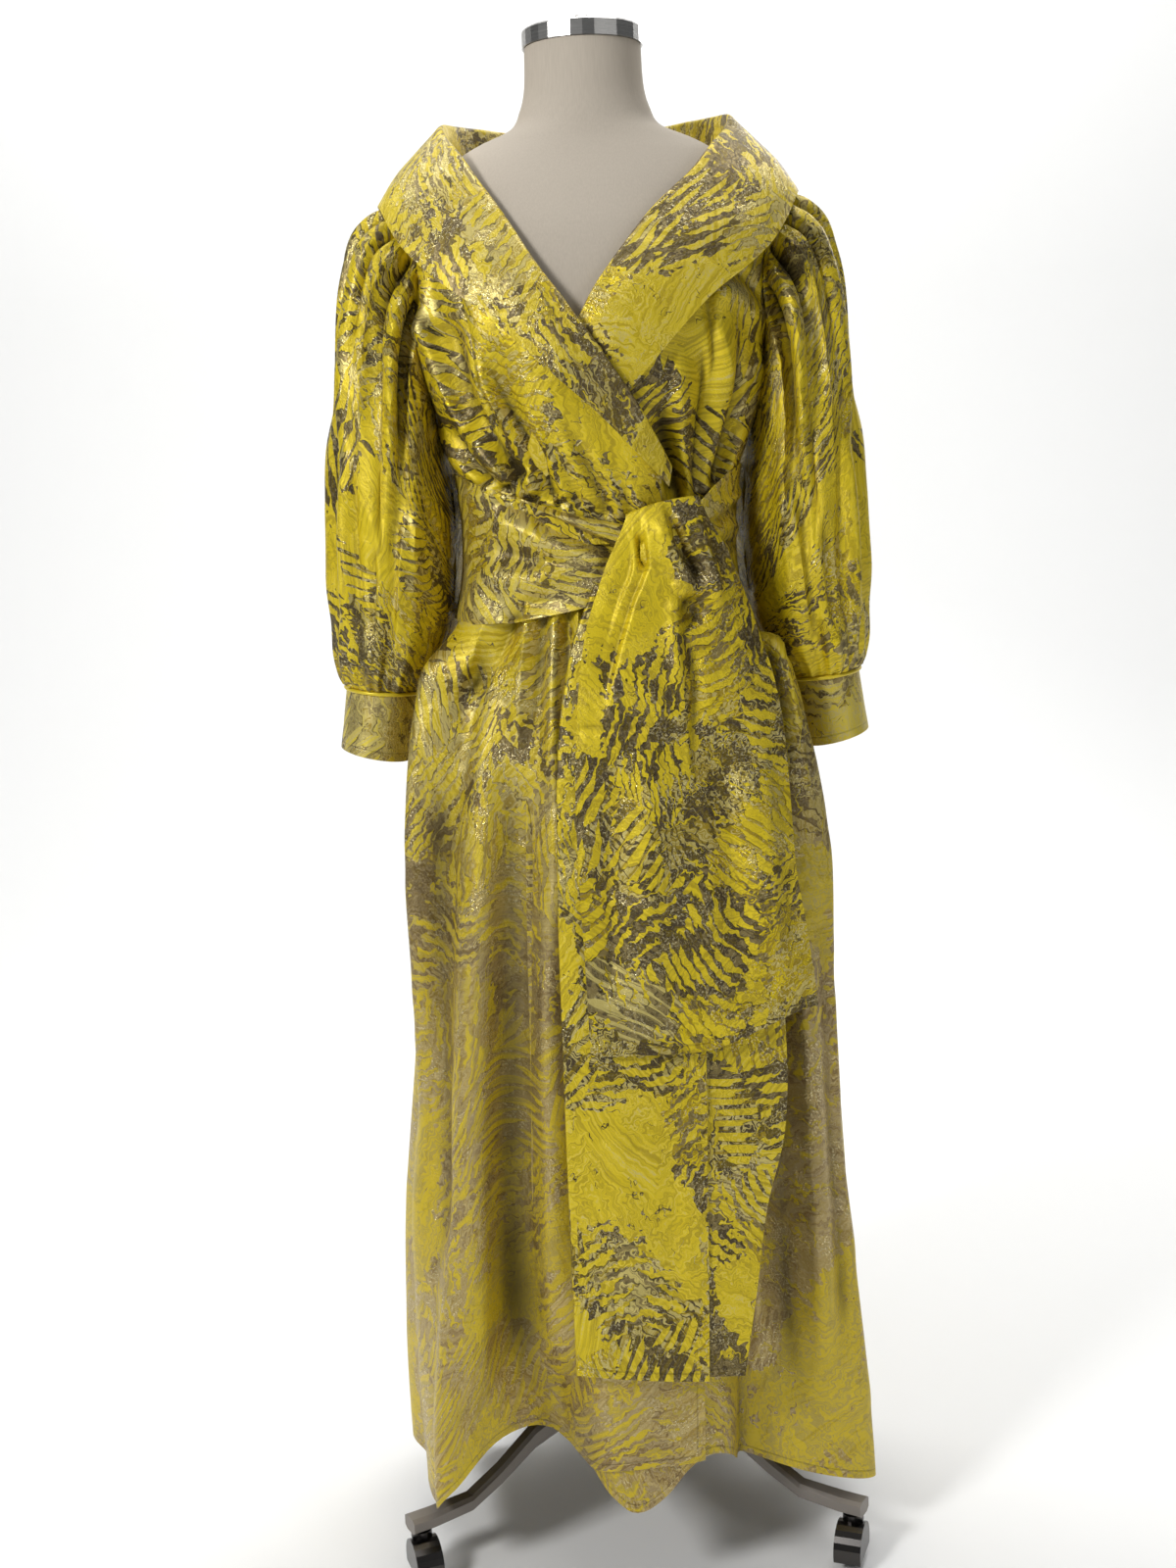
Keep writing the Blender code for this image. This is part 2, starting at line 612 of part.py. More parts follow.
def collar_grid(side, rows, lift):
    grid = []
    for angle, *places in COLLAR_BACK:
        seam = ring_point(GOWN_SECTIONS, angle, NECK_EDGE_Z + STAND_BASE, -CLOTH)
        roll = np.array([-places[0], places[1], places[2]]) * MM
        edge = np.array([-places[3], places[4], places[5]]) * MM
        path = collar_path(seam, roll, edge, ROLL_SIZE_BACK, COLLAR_CROWN * 0.6)
        grid.append([p * np.array([-side, 1, 1]) for p in path])
    for place, row in enumerate(rows):
        own = [row[0] * side * MM, row[2] * side * MM, row[4] * side * MM]
        turn = angle_at_x(own[0], row[1] * MM)
        seam = gown_point(turn, row[1] * MM, lift(turn) - CLOTH)
        follow = ramp(3, 6, place)
        wide = DRAPE_WIDE + (1 - DRAPE_WIDE) * follow
        roll_wide = wide + SHOULDER_ROLL_WIDE * (1 - ramp(0, 1, place))
        roll_lift = row[6] * MM + fold_at(own[1], row[3] * MM) * follow
        roll = drape_point(own[1], row[3] * MM, roll_lift, roll_wide)
        edge_lift = row[7] * MM + fold_at(own[2], row[5] * MM) * follow
        edge = drape_point(own[2], row[5] * MM, edge_lift, wide)
        share = ramp(-1, 2, place)
        size = ROLL_SIZE_BACK + (ROLL_SIZE_FRONT - ROLL_SIZE_BACK) * share
        width = np.linalg.norm(edge - roll)
        crown = COLLAR_CROWN * min(width / 0.08, 1.0) ** 2 * (1 - 0.45 * ramp(4, 7, place))
        grid.append(collar_path(seam, roll, edge, size, crown))
    return np.array(grid)


def collar_solid(name, side, rows, lift):
    grid = collar_grid(side, rows, lift)
    normal = grid_normals(grid, False)
    # The visible side of the stand faces the neck axis
    first = grid[0, 0]
    if np.dot(normal[0, 0], np.array([first[0], first[1], 0.0])) > 0:
        normal = -normal
    return sheet_solid(name, grid, toward=tuple(first - normal[0, 0] * 1000.0))


# Sleeves

def sleeve_ring(row, side, turn_count, gather=0.0):
    out_x, out_z, in_x, in_z, mid_y, half_y = row[:6]
    shift = RIGHT_SLEEVE_SHIFT * ramp(1300, 1100, out_z) if side < 0 else 0
    outer = np.array([out_x + shift, 0.0, out_z])
    inner = np.array([in_x + shift * 0.4, 0.0, in_z])
    middle = (outer + inner) / 2 + np.array([0.0, mid_y, 0.0])
    half = (outer - inner) / 2
    size = np.linalg.norm(half)
    tuck = SLEEVE_TUCK * ramp(1145, 1090, in_z) * ramp(895, 945, in_z)
    ring = []
    for k in range(turn_count):
        turn = 2 * math.pi * k / turn_count
        # The gathers fade on the side that faces the body
        fade = 1 - ramp(100, 160, math.degrees(min(turn, 2 * math.pi - turn)))
        wave = gather * fade * math.cos(SLEEVE_GATHERS * turn)
        point = middle + half * math.cos(turn) * (1 + wave / size)
        inward = tuck * max(math.cos(turn - math.radians(SLEEVE_TUCK_TURN)), 0.0) ** 6
        point = point + np.array([-inward, -half_y * math.sin(turn) * (1 + wave / half_y), 0.0])
        ring.append(point * np.array([side, 1, 1]) * MM)
    return ring


def armhole_ring(side, turn_count, out, grow):
    """Points along the armhole, moved off the bodice by out and enlarged by grow."""
    middle = (UNDERARM_Z + SHOULDER_Z) / 2
    half = (SHOULDER_Z - UNDERARM_Z) / 2
    ring = []
    for k in range(turn_count):
        turn = 2 * math.pi * k / turn_count
        z = middle + (half + grow) * math.cos(turn)
        front = math.sin(turn) > 0
        reach = (ARMHOLE_FRONT if front else ARMHOLE_BACK) + grow
        angle = angle_at_depth(reach * math.sin(turn) ** 2, z, side, front)
        ring.append(surface_out(angle, z, out))
    return ring


def surface_out(angle, z, out):
    """A point on the bodice moved straight out from its surface."""
    here = gown_point(angle, z)
    along = gown_point(angle + 0.5, z) - gown_point(angle - 0.5, z)
    up = gown_point(angle, z + 0.002) - gown_point(angle, z - 0.002)
    normal = np.cross(along, up)
    normal = normal / np.linalg.norm(normal)
    if normal[0] * here[0] + normal[1] * here[1] < 0:
        normal = -normal
    return here + normal * out


def sleeve(name, side):
    grid = [armhole_ring(side, STEP_SLEEVE, SLEEVE_SEAM_OUT, SLEEVE_SEAM_GROW)]
    grid += [sleeve_ring(row, side, STEP_SLEEVE, row[6]) for row in SLEEVE_RINGS]
    return sheet_solid(name, grid, closed=True, toward=tuple(np.mean(np.array(grid[6]), axis=0)))


def cuff(name, side):
    grid = [sleeve_ring(row, side, STEP_SLEEVE) for row in CUFF_RINGS]
    grid = np.array(grid)
    return sheet_solid(name, grid, closed=True, toward=tuple(grid.mean(axis=(0, 1))))


# Sash

def sash_band(name, table, columns, lift, rows=4, crown=0.002):
    grid = []
    for r in range(rows + 1):
        share = r / rows
        row = []
        for k in range(columns + 1):
            angle = table[0][0] + (table[-1][0] - table[0][0]) * k / columns
            top = smooth_read(table, 1, angle) * MM
            bottom = smooth_read(table, 2, angle) * MM
            z = top + (bottom - top) * share
            plain = ring_point(GOWN_SECTIONS, angle, z)
            away = math.hypot(plain[0], plain[1])
            out = lift(angle) + crown * math.sin(math.pi * share)
            row.append(np.array([plain[0], plain[1], 0]) * (away + out) / away + np.array([0, 0, z]))
        grid.append(row)
    return sheet_solid(name, grid, toward=(0, 0, 1.02))


def sash_lift(angle):
    angle = angle % 360
    front = ramp(172, 132, angle) if angle > 90 else ramp(4, 40, angle)
    return SASH_SIDE_LIFT + (SASH_LIFT - SASH_SIDE_LIFT) * front


def tail_surface(table, z, share):
    """A tail's outer point: share runs from its left to its right edge."""
    left, right = (smooth_read(table, c, z / MM) * MM for c in (1, 2))
    lift_left, lift_mid, lift_right = (smooth_read(table, c, z / MM) * MM for c in (3, 4, 5))
    x = left + (right - left) * share
    lift = (lift_left * (1 - share) * (1 - 2 * share) + lift_mid * 4 * share * (1 - share)
            + lift_right * share * (2 * share - 1))
    return drape_point(x, z, lift)


def tail_front(columns=9, rows=13):
    """The wide tail: its top edge turns in over the knot, its hem rises to the right."""
    top, bottom = TAIL_FRONT[0][0] * MM, TAIL_FRONT[-1][0] * MM
    heights = [top + (bottom - top) * (r / rows) ** 1.3 for r in range(rows + 1)]
    grid = []
    for back, rise, z in [(0.008, -0.001, top), (0.003, 0.003, top)] + [(0, 0, z) for z in heights]:
        row = []
        for k in range(columns + 1):
            share = k / columns
            slant = -WIDE_TAIL_SLANT * ramp(0.98, top, z) * (1 - share) ** 2
            hem = WIDE_TAIL_HEM_RISE * ramp(0.80, bottom, z) * ramp(0.45, 1.0, share)
            row.append(tail_surface(TAIL_FRONT, z, share) + np.array([0, back, rise + slant + hem]))
        grid.append(row)
    return sheet_solid("sash_tail_wide", grid, toward=(0, 0.3, 0.8))


def tail_under(columns=5, rows=9):
    """The long tail: its back layer, the fold at the left, and its face over it."""
    top, bottom = TAIL_UNDER[0][0] * MM, TAIL_UNDER[-1][0] * MM
    deep = TAIL_FOLD_SIZE
    grid = []
    for r in range(rows + 1):
        z = top + (bottom - top) * r / rows
        drop = np.array([0, 0, -LONG_TAIL_HEM_DROP * ramp(0.5, bottom, z)])
        face = [tail_surface(TAIL_UNDER, z, k / columns) + drop * k / columns for k in range(columns + 1)]
        past = face[-1][0] + smooth_read(TAIL_BACK_LAYER, 1, z / MM) * MM
        lift = smooth_read(TAIL_UNDER, 3, z / MM) * MM - deep
        left = face[0][0]
        row = []
        for k in range(columns + 1):
            share = 1 - k / columns
            row.append(drape_point(left + (past - left) * share, z, lift) + drop * share)
        for turn in (-45, 0, 45):
            reach = deep / 2 * math.cos(math.radians(turn))
            rise = deep / 2 * (1 + math.sin(math.radians(turn)))
            row.append(drape_point(left, z, lift + rise) - np.array([reach, 0, 0]))
        grid.append(row + face)
    return sheet_solid("sash_tail_long", grid, toward=(0, 0.3, 0.6))


def knot_core():
    """The rolled cloth that the wide tail passes over."""
    steps = 16
    rings = []
    for share, half_z, half_y in KNOT_RINGS:
        x = KNOT_START[0] + KNOT_RUN[0] * share
        z = KNOT_START[1] + KNOT_RUN[1] * share
        plain = ring_point(GOWN_SECTIONS, angle_at_x(x, z), z)
        y = plain[1] - KNOT_LIFT
        rings.append([(x, y + half_y * MM * math.cos(2 * math.pi * k / steps),
                       z + half_z * MM * math.sin(2 * math.pi * k / steps)) for k in range(steps)])
    return turned_solid("sash_knot", rings, "brocade", steps)


# Dress form and stand

def dress_form():
    rings = []
    for row in FORM_SECTIONS:
        z = row[0] * MM
        rings.append([tuple(ring_point(FORM_SECTIONS, 360.0 * k / STEP_FORM, z)) for k in range(STEP_FORM)])
    return turned_solid("dress_form", rings, "linen")


def neck_cap():
    low = NECK_TOP_Z + SEAM
    high = low + CAP_HEIGHT
    profile = ((CAP_RADIUS, low), (CAP_RADIUS, high - 0.0015), (CAP_RADIUS - 0.0015, high))
    turned_solid("neck_cap", round_rings(profile, STEP_FORM), "brushed_steel")
    base = high + SEAM
    profile = ((KNOB_RADIUS * 0.7, base), (KNOB_RADIUS * 0.7, base + 0.003), (KNOB_RADIUS, base + 0.005),
               (KNOB_RADIUS, base + 0.009), (KNOB_RADIUS * 0.6, base + KNOB_HEIGHT))
    turned_solid("cap_knob", round_rings(profile, 20), "brushed_steel", 20)


def pole():
    top = FORM_BOTTOM_Z - SEAM
    low = top - POLE_COLLAR_HEIGHT
    profile = ((POLE_RADIUS, POLE_BOTTOM_Z), (POLE_RADIUS, low - SEAM))
    turned_solid("pole", round_rings(profile, 20), "brushed_steel", 20)
    profile = ((0.030, low), (0.030, low + 0.012), (0.045, low + 0.018), (0.045, top))
    turned_solid("pole_collar", round_rings(profile, 18), "painted_iron", 18)


def hub():
    """The base plug under the pole, and the sleeve round the pole that carries the legs."""
    steps = 24
    low, top = POLE_BOTTOM_Z, HUB_SLEEVE_TOP_Z
    profile = ((0.016, low - 0.014), (0.030, low - 0.012), (HUB_RADIUS, low - 0.004),
               (HUB_RADIUS, low - SEAM))
    turned_solid("hub", round_rings(profile, steps), "painted_iron", steps)
    profile = ((HUB_RADIUS, low), (HUB_RADIUS, top - 0.020), (0.026, top - 0.008), (0.022, top))
    outer = round_rings(profile, steps)
    inner = round_rings(((POLE_RADIUS + SEAM, top), (POLE_RADIUS + SEAM, low)), steps)
    tube_solid("hub_sleeve", outer + inner, steps, "painted_iron")


def tube_solid(name, rings, steps, material_name):
    """A ring-shaped solid: the rings run up its outside and back down its bore."""
    points = [p for ring in rings for p in ring]
    faces = []
    count = len(rings)
    for r in range(count):
        after = (r + 1) % count
        for c in range(steps):
            n = (c + 1) % steps
            a, b, d, e = r * steps + c, r * steps + n, after * steps + n, after * steps + c
            faces += [(a, b, d), (a, d, e)]
    return mesh_object(name, points, faces, material_name)


def leg(index, angle):
    """A cast arm from the hub sleeve out and down to the caster's socket."""
    turn = math.radians(angle)
    ahead = np.array([math.cos(turn), math.sin(turn), 0.0])
    aside = np.array([-math.sin(turn), math.cos(turn), 0.0])
    rings = []
    for reach, z, half_z, half_w in LEG_ROWS:
        bottom = max(z - half_z * MM, LEG_END_Z)
        top = z + half_z * MM
        ring = []
        for sx, sz in LEG_OUTLINE:
            zz = (top + bottom) / 2 + (top - bottom) / 2 * sz
            ring.append(tuple(ahead * reach + aside * half_w * MM * sx + np.array([0, 0, zz])))
        rings.append(ring)
    return turned_solid(f"leg_{index}", rings, "painted_iron", 8)


def boolean(target, tool, operation):
    cut = target.modifiers.new(operation.title(), "BOOLEAN")
    cut.operation = operation
    cut.object = tool
    cut.solver = "EXACT"
    tool.hide_render = True
    tool.display_type = "WIRE"


def cylinder(name, radius, depth, steps, place, material_name):
    work = bmesh.new()
    bmesh.ops.create_cone(work, cap_ends=True, segments=steps, radius1=radius, radius2=radius, depth=depth,
                          matrix=place)
    mesh = bpy.data.meshes.new(name)
    work.to_mesh(mesh)
    work.free()
    mesh.materials.append(material(material_name))
    made = bpy.data.objects.new(name, mesh)
    bpy.context.collection.objects.link(made)
    return made


def caster(index, angle, trail):
    """A swivelling hood over one wheel, each on its own axis."""
    turn = math.radians(angle)
    swivel = bpy.data.objects.new(f"swivel_axis_{index}", None)
    swivel.location = (LEG_RADIUS * math.cos(turn), LEG_RADIUS * math.sin(turn) + PLACE_Y, 0)
    swivel.rotation_euler.z = math.radians(trail)
    bpy.context.collection.objects.link(swivel)
    axle = Matrix.Translation((TRAIL, 0, WHEEL_RADIUS)) @ Matrix.Rotation(math.pi / 2, 4, "X")
    hood = cylinder(f"caster_hood_{index}", HOOD_RADIUS, HOOD_WIDTH, 24, axle, "caster_metal")
    top = LEG_END_Z - SEAM
    stem_low = WHEEL_RADIUS + HOOD_INNER_RADIUS + 0.0012
    stem = cylinder(f"caster_stem_{index}", STEM_RADIUS, top - stem_low, 20,
                    Matrix.Translation((0, 0, (top + stem_low) / 2)), "caster_metal")
    bore = cylinder(f"caster_bore_{index}", HOOD_INNER_RADIUS, HOOD_INNER_WIDTH, 24, axle, "caster_metal")
    gap = cylinder(f"caster_gap_{index}", 0.04, 0.03, 24, Matrix.Translation((TRAIL, 0, HOOD_LOW_Z - 0.015)),
                   "caster_metal")
    boolean(hood, stem, "UNION")
    boolean(hood, bore, "DIFFERENCE")
    boolean(hood, gap, "DIFFERENCE")
    wheel = wheel_mesh(f"caster_wheel_{index}")
    wheel.location = (TRAIL, 0, WHEEL_RADIUS)
    for piece in (hood, stem, bore, gap, wheel):
        piece.parent = swivel


def wheel_mesh(name):
    """A wheel turned about its axle: the tread, and a hub a little wider than it."""
    half, hub_half = WHEEL_WIDTH / 2, WHEEL_HUB_WIDTH / 2
    radius, round_off = WHEEL_RADIUS, 0.003
    profile = ((0.006, -hub_half), (0.007, -half), (radius - round_off, -half), (radius, -half + round_off),
               (radius, half - round_off), (radius - round_off, half), (0.007, half), (0.006, hub_half))
    steps = 20
    rings = [[(r * math.cos(2 * math.pi * k / steps), y, r * math.sin(2 * math.pi * k / steps))
              for k in range(steps)] for r, y in profile]
    made = turned_solid(name, rings, "caster_tread", steps)
    made.location.y = 0
    return made


def build():
    clear_scene()
    bodice_back()
    bodice_front(-1, "bodice_front_right", COLLAR_RIGHT, wrap_lift, 15)
    bodice_front(1, "bodice_front_left", COLLAR_LEFT, lambda angle: 0.0, 14)
    collar_solid("collar_right", -1, COLLAR_RIGHT, wrap_lift)
    collar_solid("collar_left", 1, COLLAR_LEFT, lambda angle: 0.0)
    for side, word in ((-1, "right"), (1, "left")):
        sleeve(f"sleeve_{word}", side)
        cuff(f"cuff_{word}", side)
    gap = SKIRT_SEAM_TURN
    skirt_panel("skirt_back", 180 + gap, 360 - gap, 32, HEM_OUTER, lambda angle: 0.0)
    skirt_panel("skirt_front_right", 180 - gap, WRAP_EDGE_WAIST, 24, HEM_OUTER, skirt_wrap_lift,
                WRAP_EDGE_HEM)
    skirt_panel("skirt_front_left", gap, UNDER_WRAP_EDGE, 24, HEM_UNDER, lambda angle: 0.0)
    sash_band("sash_front", SASH_FRONT, 14, sash_lift)
    sash_band("sash_back", SASH_BACK, 18, lambda angle: SASH_SIDE_LIFT)
    sash_band("sash_left", SASH_LEFT, 8, sash_lift)
    knot_core()
    tail_front()
    tail_under()
    dress_form()
    neck_cap()
    pole()
    hub()
    for index, (angle, trail) in enumerate(zip(LEG_ANGLES, TRAIL_ANGLES), 1):
        leg(index, angle)
        caster(index, angle, trail)


build()
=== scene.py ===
"""Looks of the evening gown on its dress form.

Each cloth piece is made again on its solid's form, finer and with its creases,
as a two-sided wall. Then come the materials, the lights and the camera. Tables
are in millimetres and degrees, everything else in metres, unless it says so.
"""
import math

import bpy
import numpy as np
from mathutils import Matrix, Vector


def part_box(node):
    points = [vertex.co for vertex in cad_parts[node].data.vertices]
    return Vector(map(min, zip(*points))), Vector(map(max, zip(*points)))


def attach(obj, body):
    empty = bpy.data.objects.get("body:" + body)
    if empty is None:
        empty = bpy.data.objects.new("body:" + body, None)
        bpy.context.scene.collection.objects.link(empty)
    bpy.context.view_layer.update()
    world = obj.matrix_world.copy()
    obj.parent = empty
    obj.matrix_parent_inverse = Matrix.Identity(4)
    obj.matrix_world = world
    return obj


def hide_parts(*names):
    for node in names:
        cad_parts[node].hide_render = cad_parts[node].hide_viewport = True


# Driving dimensions
MM = 0.001
CLOTH = 0.0016             # thickness of the brocade
SEAM = 0.0003              # clearance where two pieces meet
SIDE_SEAM_TURN = 0.22      # the same clearance at a side seam, in degrees
EDGE_CLEARANCE = 0.0009    # the same between a front's slanting edge and its collar
WAIST_Z = 1.020            # waist seam, under the sash
UNDERARM_Z = 1.165
SHOULDER_Z = 1.335         # top of the armhole
NECK_EDGE_Z = 1.374        # top edge of the bodice
ARMHOLE_FRONT = 0.060      # how far the armhole reaches to the front
ARMHOLE_BACK = 0.066
OVERLAP_LIFT = 0.0100      # the upper wrap over the under wrap, at the bodice
SKIRT_OVERLAP_LIFT = 0.0050
SASH_SIDE_LIFT = 0.0075    # sash over the gown, at the sides and back
SASH_LIFT = 0.0145         # sash over the gown, at the front
DRAPE_WIDE = 1.3           # how much flatter than the gown a loose layer hangs over it
SHOULDER_ROLL_WIDE = 0.2   # and how much more at the collar's roll on the shoulder
# The gown without folds, as rings from the neck to the hem: half widths to
# the wearer's right and left, depths to the front and back, and how square.
# Columns: z, right, left, front, back, square
GOWN_SECTIONS = (
    (1402, 74, 74, 62, 70, 2.0),
    (1388, 108, 108, 68, 80, 2.0),
    (1374, 131, 131, 77, 88, 2.1),
    (1355, 152, 152, 88, 97, 2.1),
    (1335, 165, 165, 99, 103, 2.15),
    (1300, 173, 173, 117, 108, 2.2),
    (1255, 172, 172, 133, 108, 2.2),
    (1210, 165, 165, 141, 104, 2.2),
    (1160, 152, 152, 137, 98, 2.2),
    (1110, 137, 137, 127, 93, 2.2),
    (1060, 127, 126, 117, 91, 2.2),
    (1020, 125, 123, 113, 93, 2.2),
    (980, 129, 127, 116, 98, 2.2),
    (940, 141, 140, 122, 106, 2.2),
    (900, 153, 154, 128, 114, 2.2),
    (850, 165, 167, 135, 123, 2.2),
    (800, 174, 180, 141, 131, 2.2),
    (700, 187, 198, 149, 142, 2.2),
    (600, 197, 210, 156, 151, 2.2),
    (500, 206, 221, 162, 159, 2.2),
    (350, 222, 229, 170, 171, 2.2),
    (200, 226, 232, 177, 181, 2.2),
    (60, 224, 237, 183, 190, 2.2),
)
# The dress form: a general figure a little inside the gown
FORM_SECTIONS = (
    (1475, 54.5, 54.5, 54.5, 54.5, 2.0),
    (1440, 56, 56, 54.5, 57, 2.0),
    (1420, 61, 61, 56, 61, 2.0),
    (1402, 72, 72, 60, 67, 2.0),
    (1388, 104.5, 104.5, 65, 76.5, 2.0),
    (1374, 127.5, 127.5, 73, 84.5, 2.1),
    (1355, 147.5, 147.5, 84, 93, 2.1),
    (1335, 155, 155, 94, 98, 2.15),
    (1300, 157, 157, 109, 100, 2.2),
    (1255, 155, 155, 122, 98, 2.2),
    (1210, 148, 148, 128, 93, 2.2),
    (1160, 136, 136, 122, 87, 2.2),
    (1110, 122, 122, 110, 82, 2.2),
    (1060, 111, 111, 100, 80, 2.2),
    (1020, 107, 107, 95, 80, 2.2),
    (980, 111, 111, 97, 84, 2.2),
    (940, 121, 121, 103, 92, 2.2),
    (900, 132, 132, 108, 100, 2.2),
    (850, 141, 141, 111, 106, 2.2),
    (810, 140, 140, 109, 105, 2.2),
    (785, 132, 132, 102, 98, 2.2),
    (775, 120, 120, 92, 88, 2.2),
)
# Skirt folds: offset from the plain ring at the hip, the knee and the hem.
# Degrees run from the wearer's left (0) over the front (90) to the right
# (180) and on over the back (270).
# Columns: angle, hip, knee, hem
SKIRT_FOLDS = (
    (0, 0, 2, 4),
    (14, -6, -4, -8),
    (28, 42, 16, 34),
    (43, 4, -10, -8),
    (57, -5, -20, -44),
    (70, 1, 0, 6),
    (84, 0, 4, 18),
    (95, 0, 3, 14),
    (104, -2, -9, -34),
    (113, -6, -20, -62),
    (121, -8, -16, -50),
    (131, 2, 14, 40),
    (140, 6, 6, 28),
    (152, 42, 12, 10),
    (167, -6, -2, -4),
    (180, 0, 3, 9),
    (197, -3, -9, -16),
    (212, 4, 9, 24),
    (228, -2, -12, -24),
    (243, 3, 7, 20),
    (258, -2, -10, -26),
    (272, 3, 7, 18),
    (287, -2, -11, -24),
    (302, 4, 9, 23),
    (318, -3, -10, -22),
    (333, 4, 8, 17),
    (347, -3, -4, -8),
)
# Height of the hem round the upper wrap and the back, and of the under wrap
# Columns: angle, z
HEM_OUTER = (
    (0, 82), (28, 76), (57, 118), (70, 148), (84, 151), (92, 149), (102, 136), (112, 138),
    (118, 150), (123, 158), (126, 150), (130, 114), (136, 89), (150, 84), (180, 84),
    (212, 78), (228, 92), (243, 80), (258, 94), (272, 84), (287, 94), (302, 78),
    (318, 90), (333, 78),
)
HEM_UNDER = (
    (0, 82), (28, 76), (57, 118), (63, 124), (69, 144), (75, 153), (80, 144), (85, 119),
    (90, 104), (94, 116), (99, 134), (108, 140), (180, 140),
)
WRAP_EDGE_WAIST = 68       # angle of the upper wrap's edge at the waist and the hem
WRAP_EDGE_HEM = 77
UNDER_WRAP_EDGE = 116      # angle of the under wrap's edge
SKIRT_SEAM_TURN = 0.15     # half the clearance at the skirt's side seams, in degrees
# Bodice folds: ridges that run up from the waist and fade at the shoulders
# Columns: angle, waist, bust
BODICE_FOLDS = (
    (0, 0, 0), (22, 2, 2), (36, -2, -2), (50, 3, 5), (62, -2, -2),
    (76, 2, 2), (90, -2, -2), (104, 2, 2), (118, -2, -2),
    (131, 3, 4), (144, -2, -2), (158, 2, 2), (180, 0, 0),
    (204, 2, 2), (222, -2, -2), (240, 2, 2), (256, -2, -1),
    (270, 2, 2), (284, -2, -1), (300, 2, 2), (318, -2, -2), (336, 2, 2),
)
# The collar halves, from the centre back to the tip of the wrap. Behind the
# shoulder a row gives the neck seam's angle, then the roll and the edge.
# Columns: angle, roll_x, roll_y, roll_z, edge_x, edge_y, edge_z
COLLAR_BACK = (
    (269.9, 0.2, 117, 1411, 0.2, 146, 1322),
    (256, 36, 114, 1412, 46, 145, 1321),
    (240, 72, 101, 1414, 95, 135, 1321),
    (222, 106, 75, 1414, 143, 112, 1323),
    (203, 130, 42, 1412, 178, 70, 1328),
    (183, 141, 3, 1408, 197, 16, 1336),
)
# Before it a row gives the seam, roll and edge in the front view; x is
# positive on the collar's own side. The lifts are over the gown.
# Columns: seam_x, seam_z, roll_x, roll_z, edge_x, edge_z, roll_lift, edge_lift
COLLAR_RIGHT = (
    (130, 1370, 137, 1394, 192, 1331, 6, 10),
    (122, 1356, 122, 1373, 177, 1301, 6, 12),
    (107, 1335, 103, 1344, 159, 1278, 6, 13),
    (91, 1308, 82, 1314, 136, 1257, 6, 14),
    (67, 1271, 57, 1274, 97, 1227, 10, 19),
    (45, 1240, 33, 1241, 65, 1197, 13, 21),
    (21, 1205, 8, 1206, 34, 1168, 16.5, 21),
    (-8, 1165, -20, 1165, 3, 1140, 16.5, 20.5),
    (-31, 1127, -44, 1127, -28, 1108, 16, 20),
    (-53, 1088, -66, 1086, -63, 1070, 15.5, 18),
)
COLLAR_LEFT = (
    (130, 1370, 137, 1394, 192, 1331, 6, 10),
    (120, 1356, 118, 1371, 177, 1303, 6, 12),
    (102, 1335, 95, 1345, 161, 1281, 6, 12),
    (73, 1307, 61, 1315, 138, 1261, 4, 10),
    (41, 1272, 28, 1277, 106, 1237, 3, 9),
    (15, 1241, 3, 1245, 75, 1206, 3, 8),
    (-8, 1205, -18, 1208, 45, 1173, 3.2, 6),
    (-31, 1165, -41, 1165, 12, 1138, 4.0, 6.2),
    (-47, 1127, -57, 1127, -22, 1106, 4.4, 7.0),
    (-60, 1088, -70, 1087, -62, 1071, 4.4, 6.8),
)
ROLL_SIZE_BACK = 0.0090    # across the soft roll of the collar
ROLL_SIZE_FRONT = 0.0068
STAND_BASE = 0.0012        # the stand's foot over the bodice's edge, behind
COLLAR_CROWN = 0.0070      # how far the fall bulges between roll and edge
# Sleeve rings from the armhole down: outer and inner point, as distances
# from the middle of the body, the ring's middle and half depth, and gathers.
# Columns: out_x, out_z, in_x, in_z, mid_y, half_y, gather
SLEEVE_RINGS = (
    (186, 1330, 152, 1134, 3, 70, 3.0),
    (205, 1322, 147, 1112, 3, 75, 4.5),
    (220, 1303, 144, 1084, 2, 77, 5.0),
    (232, 1258, 142, 1054, 0, 79, 5.0),
    (241, 1180, 141, 1015, -2, 80, 4.0),
    (248, 1085, 144, 974, -4, 80, 4.0),
    (253, 990, 150, 937, -7, 76, 4.0),
    (256, 930, 162, 907, -8, 66, 4.0),
    (253, 900, 175, 888, -8, 54, 2.5),
    (249, 887, 180, 879, -8, 48, 0.0),
)
SLEEVE_GATHERS = 9         # folds round a sleeve
SLEEVE_SEAM_OUT = 0.0014   # the sleeve's top edge over the bodice's armhole edge
SLEEVE_SEAM_GROW = 0.0030
CUFF_RINGS = ((249, 886.7, 180, 878.7, -8, 48.5), (258, 828, 192, 812, -8, 50))
RIGHT_SLEEVE_SHIFT = 5     # the right sleeve stands a little further out
SLEEVE_TUCK = 25           # how far a sleeve's back reaches in behind the waist
SLEEVE_TUCK_TURN = 232     # where round the sleeve it reaches furthest, in degrees
# Sash bands: height of the two edges at each angle
# Columns: angle, top, bottom
SASH_FRONT = (
    (70, 1034, 971), (80, 1036, 969), (90, 1042, 967), (102, 1051, 960), (116, 1062, 954),
    (132, 1073, 950), (150, 1082, 948), (166, 1087, 950), (179.8, 1088, 953),
)
SASH_BACK = ((180, 1088, 953), (225, 1090, 948), (270, 1092, 946), (315, 1090, 952), (360, 1087, 975))
SASH_LEFT = ((0.2, 1087, 975), (16, 1088, 984), (30, 1083, 992), (42, 1070, 1000), (50, 1056, 1004))
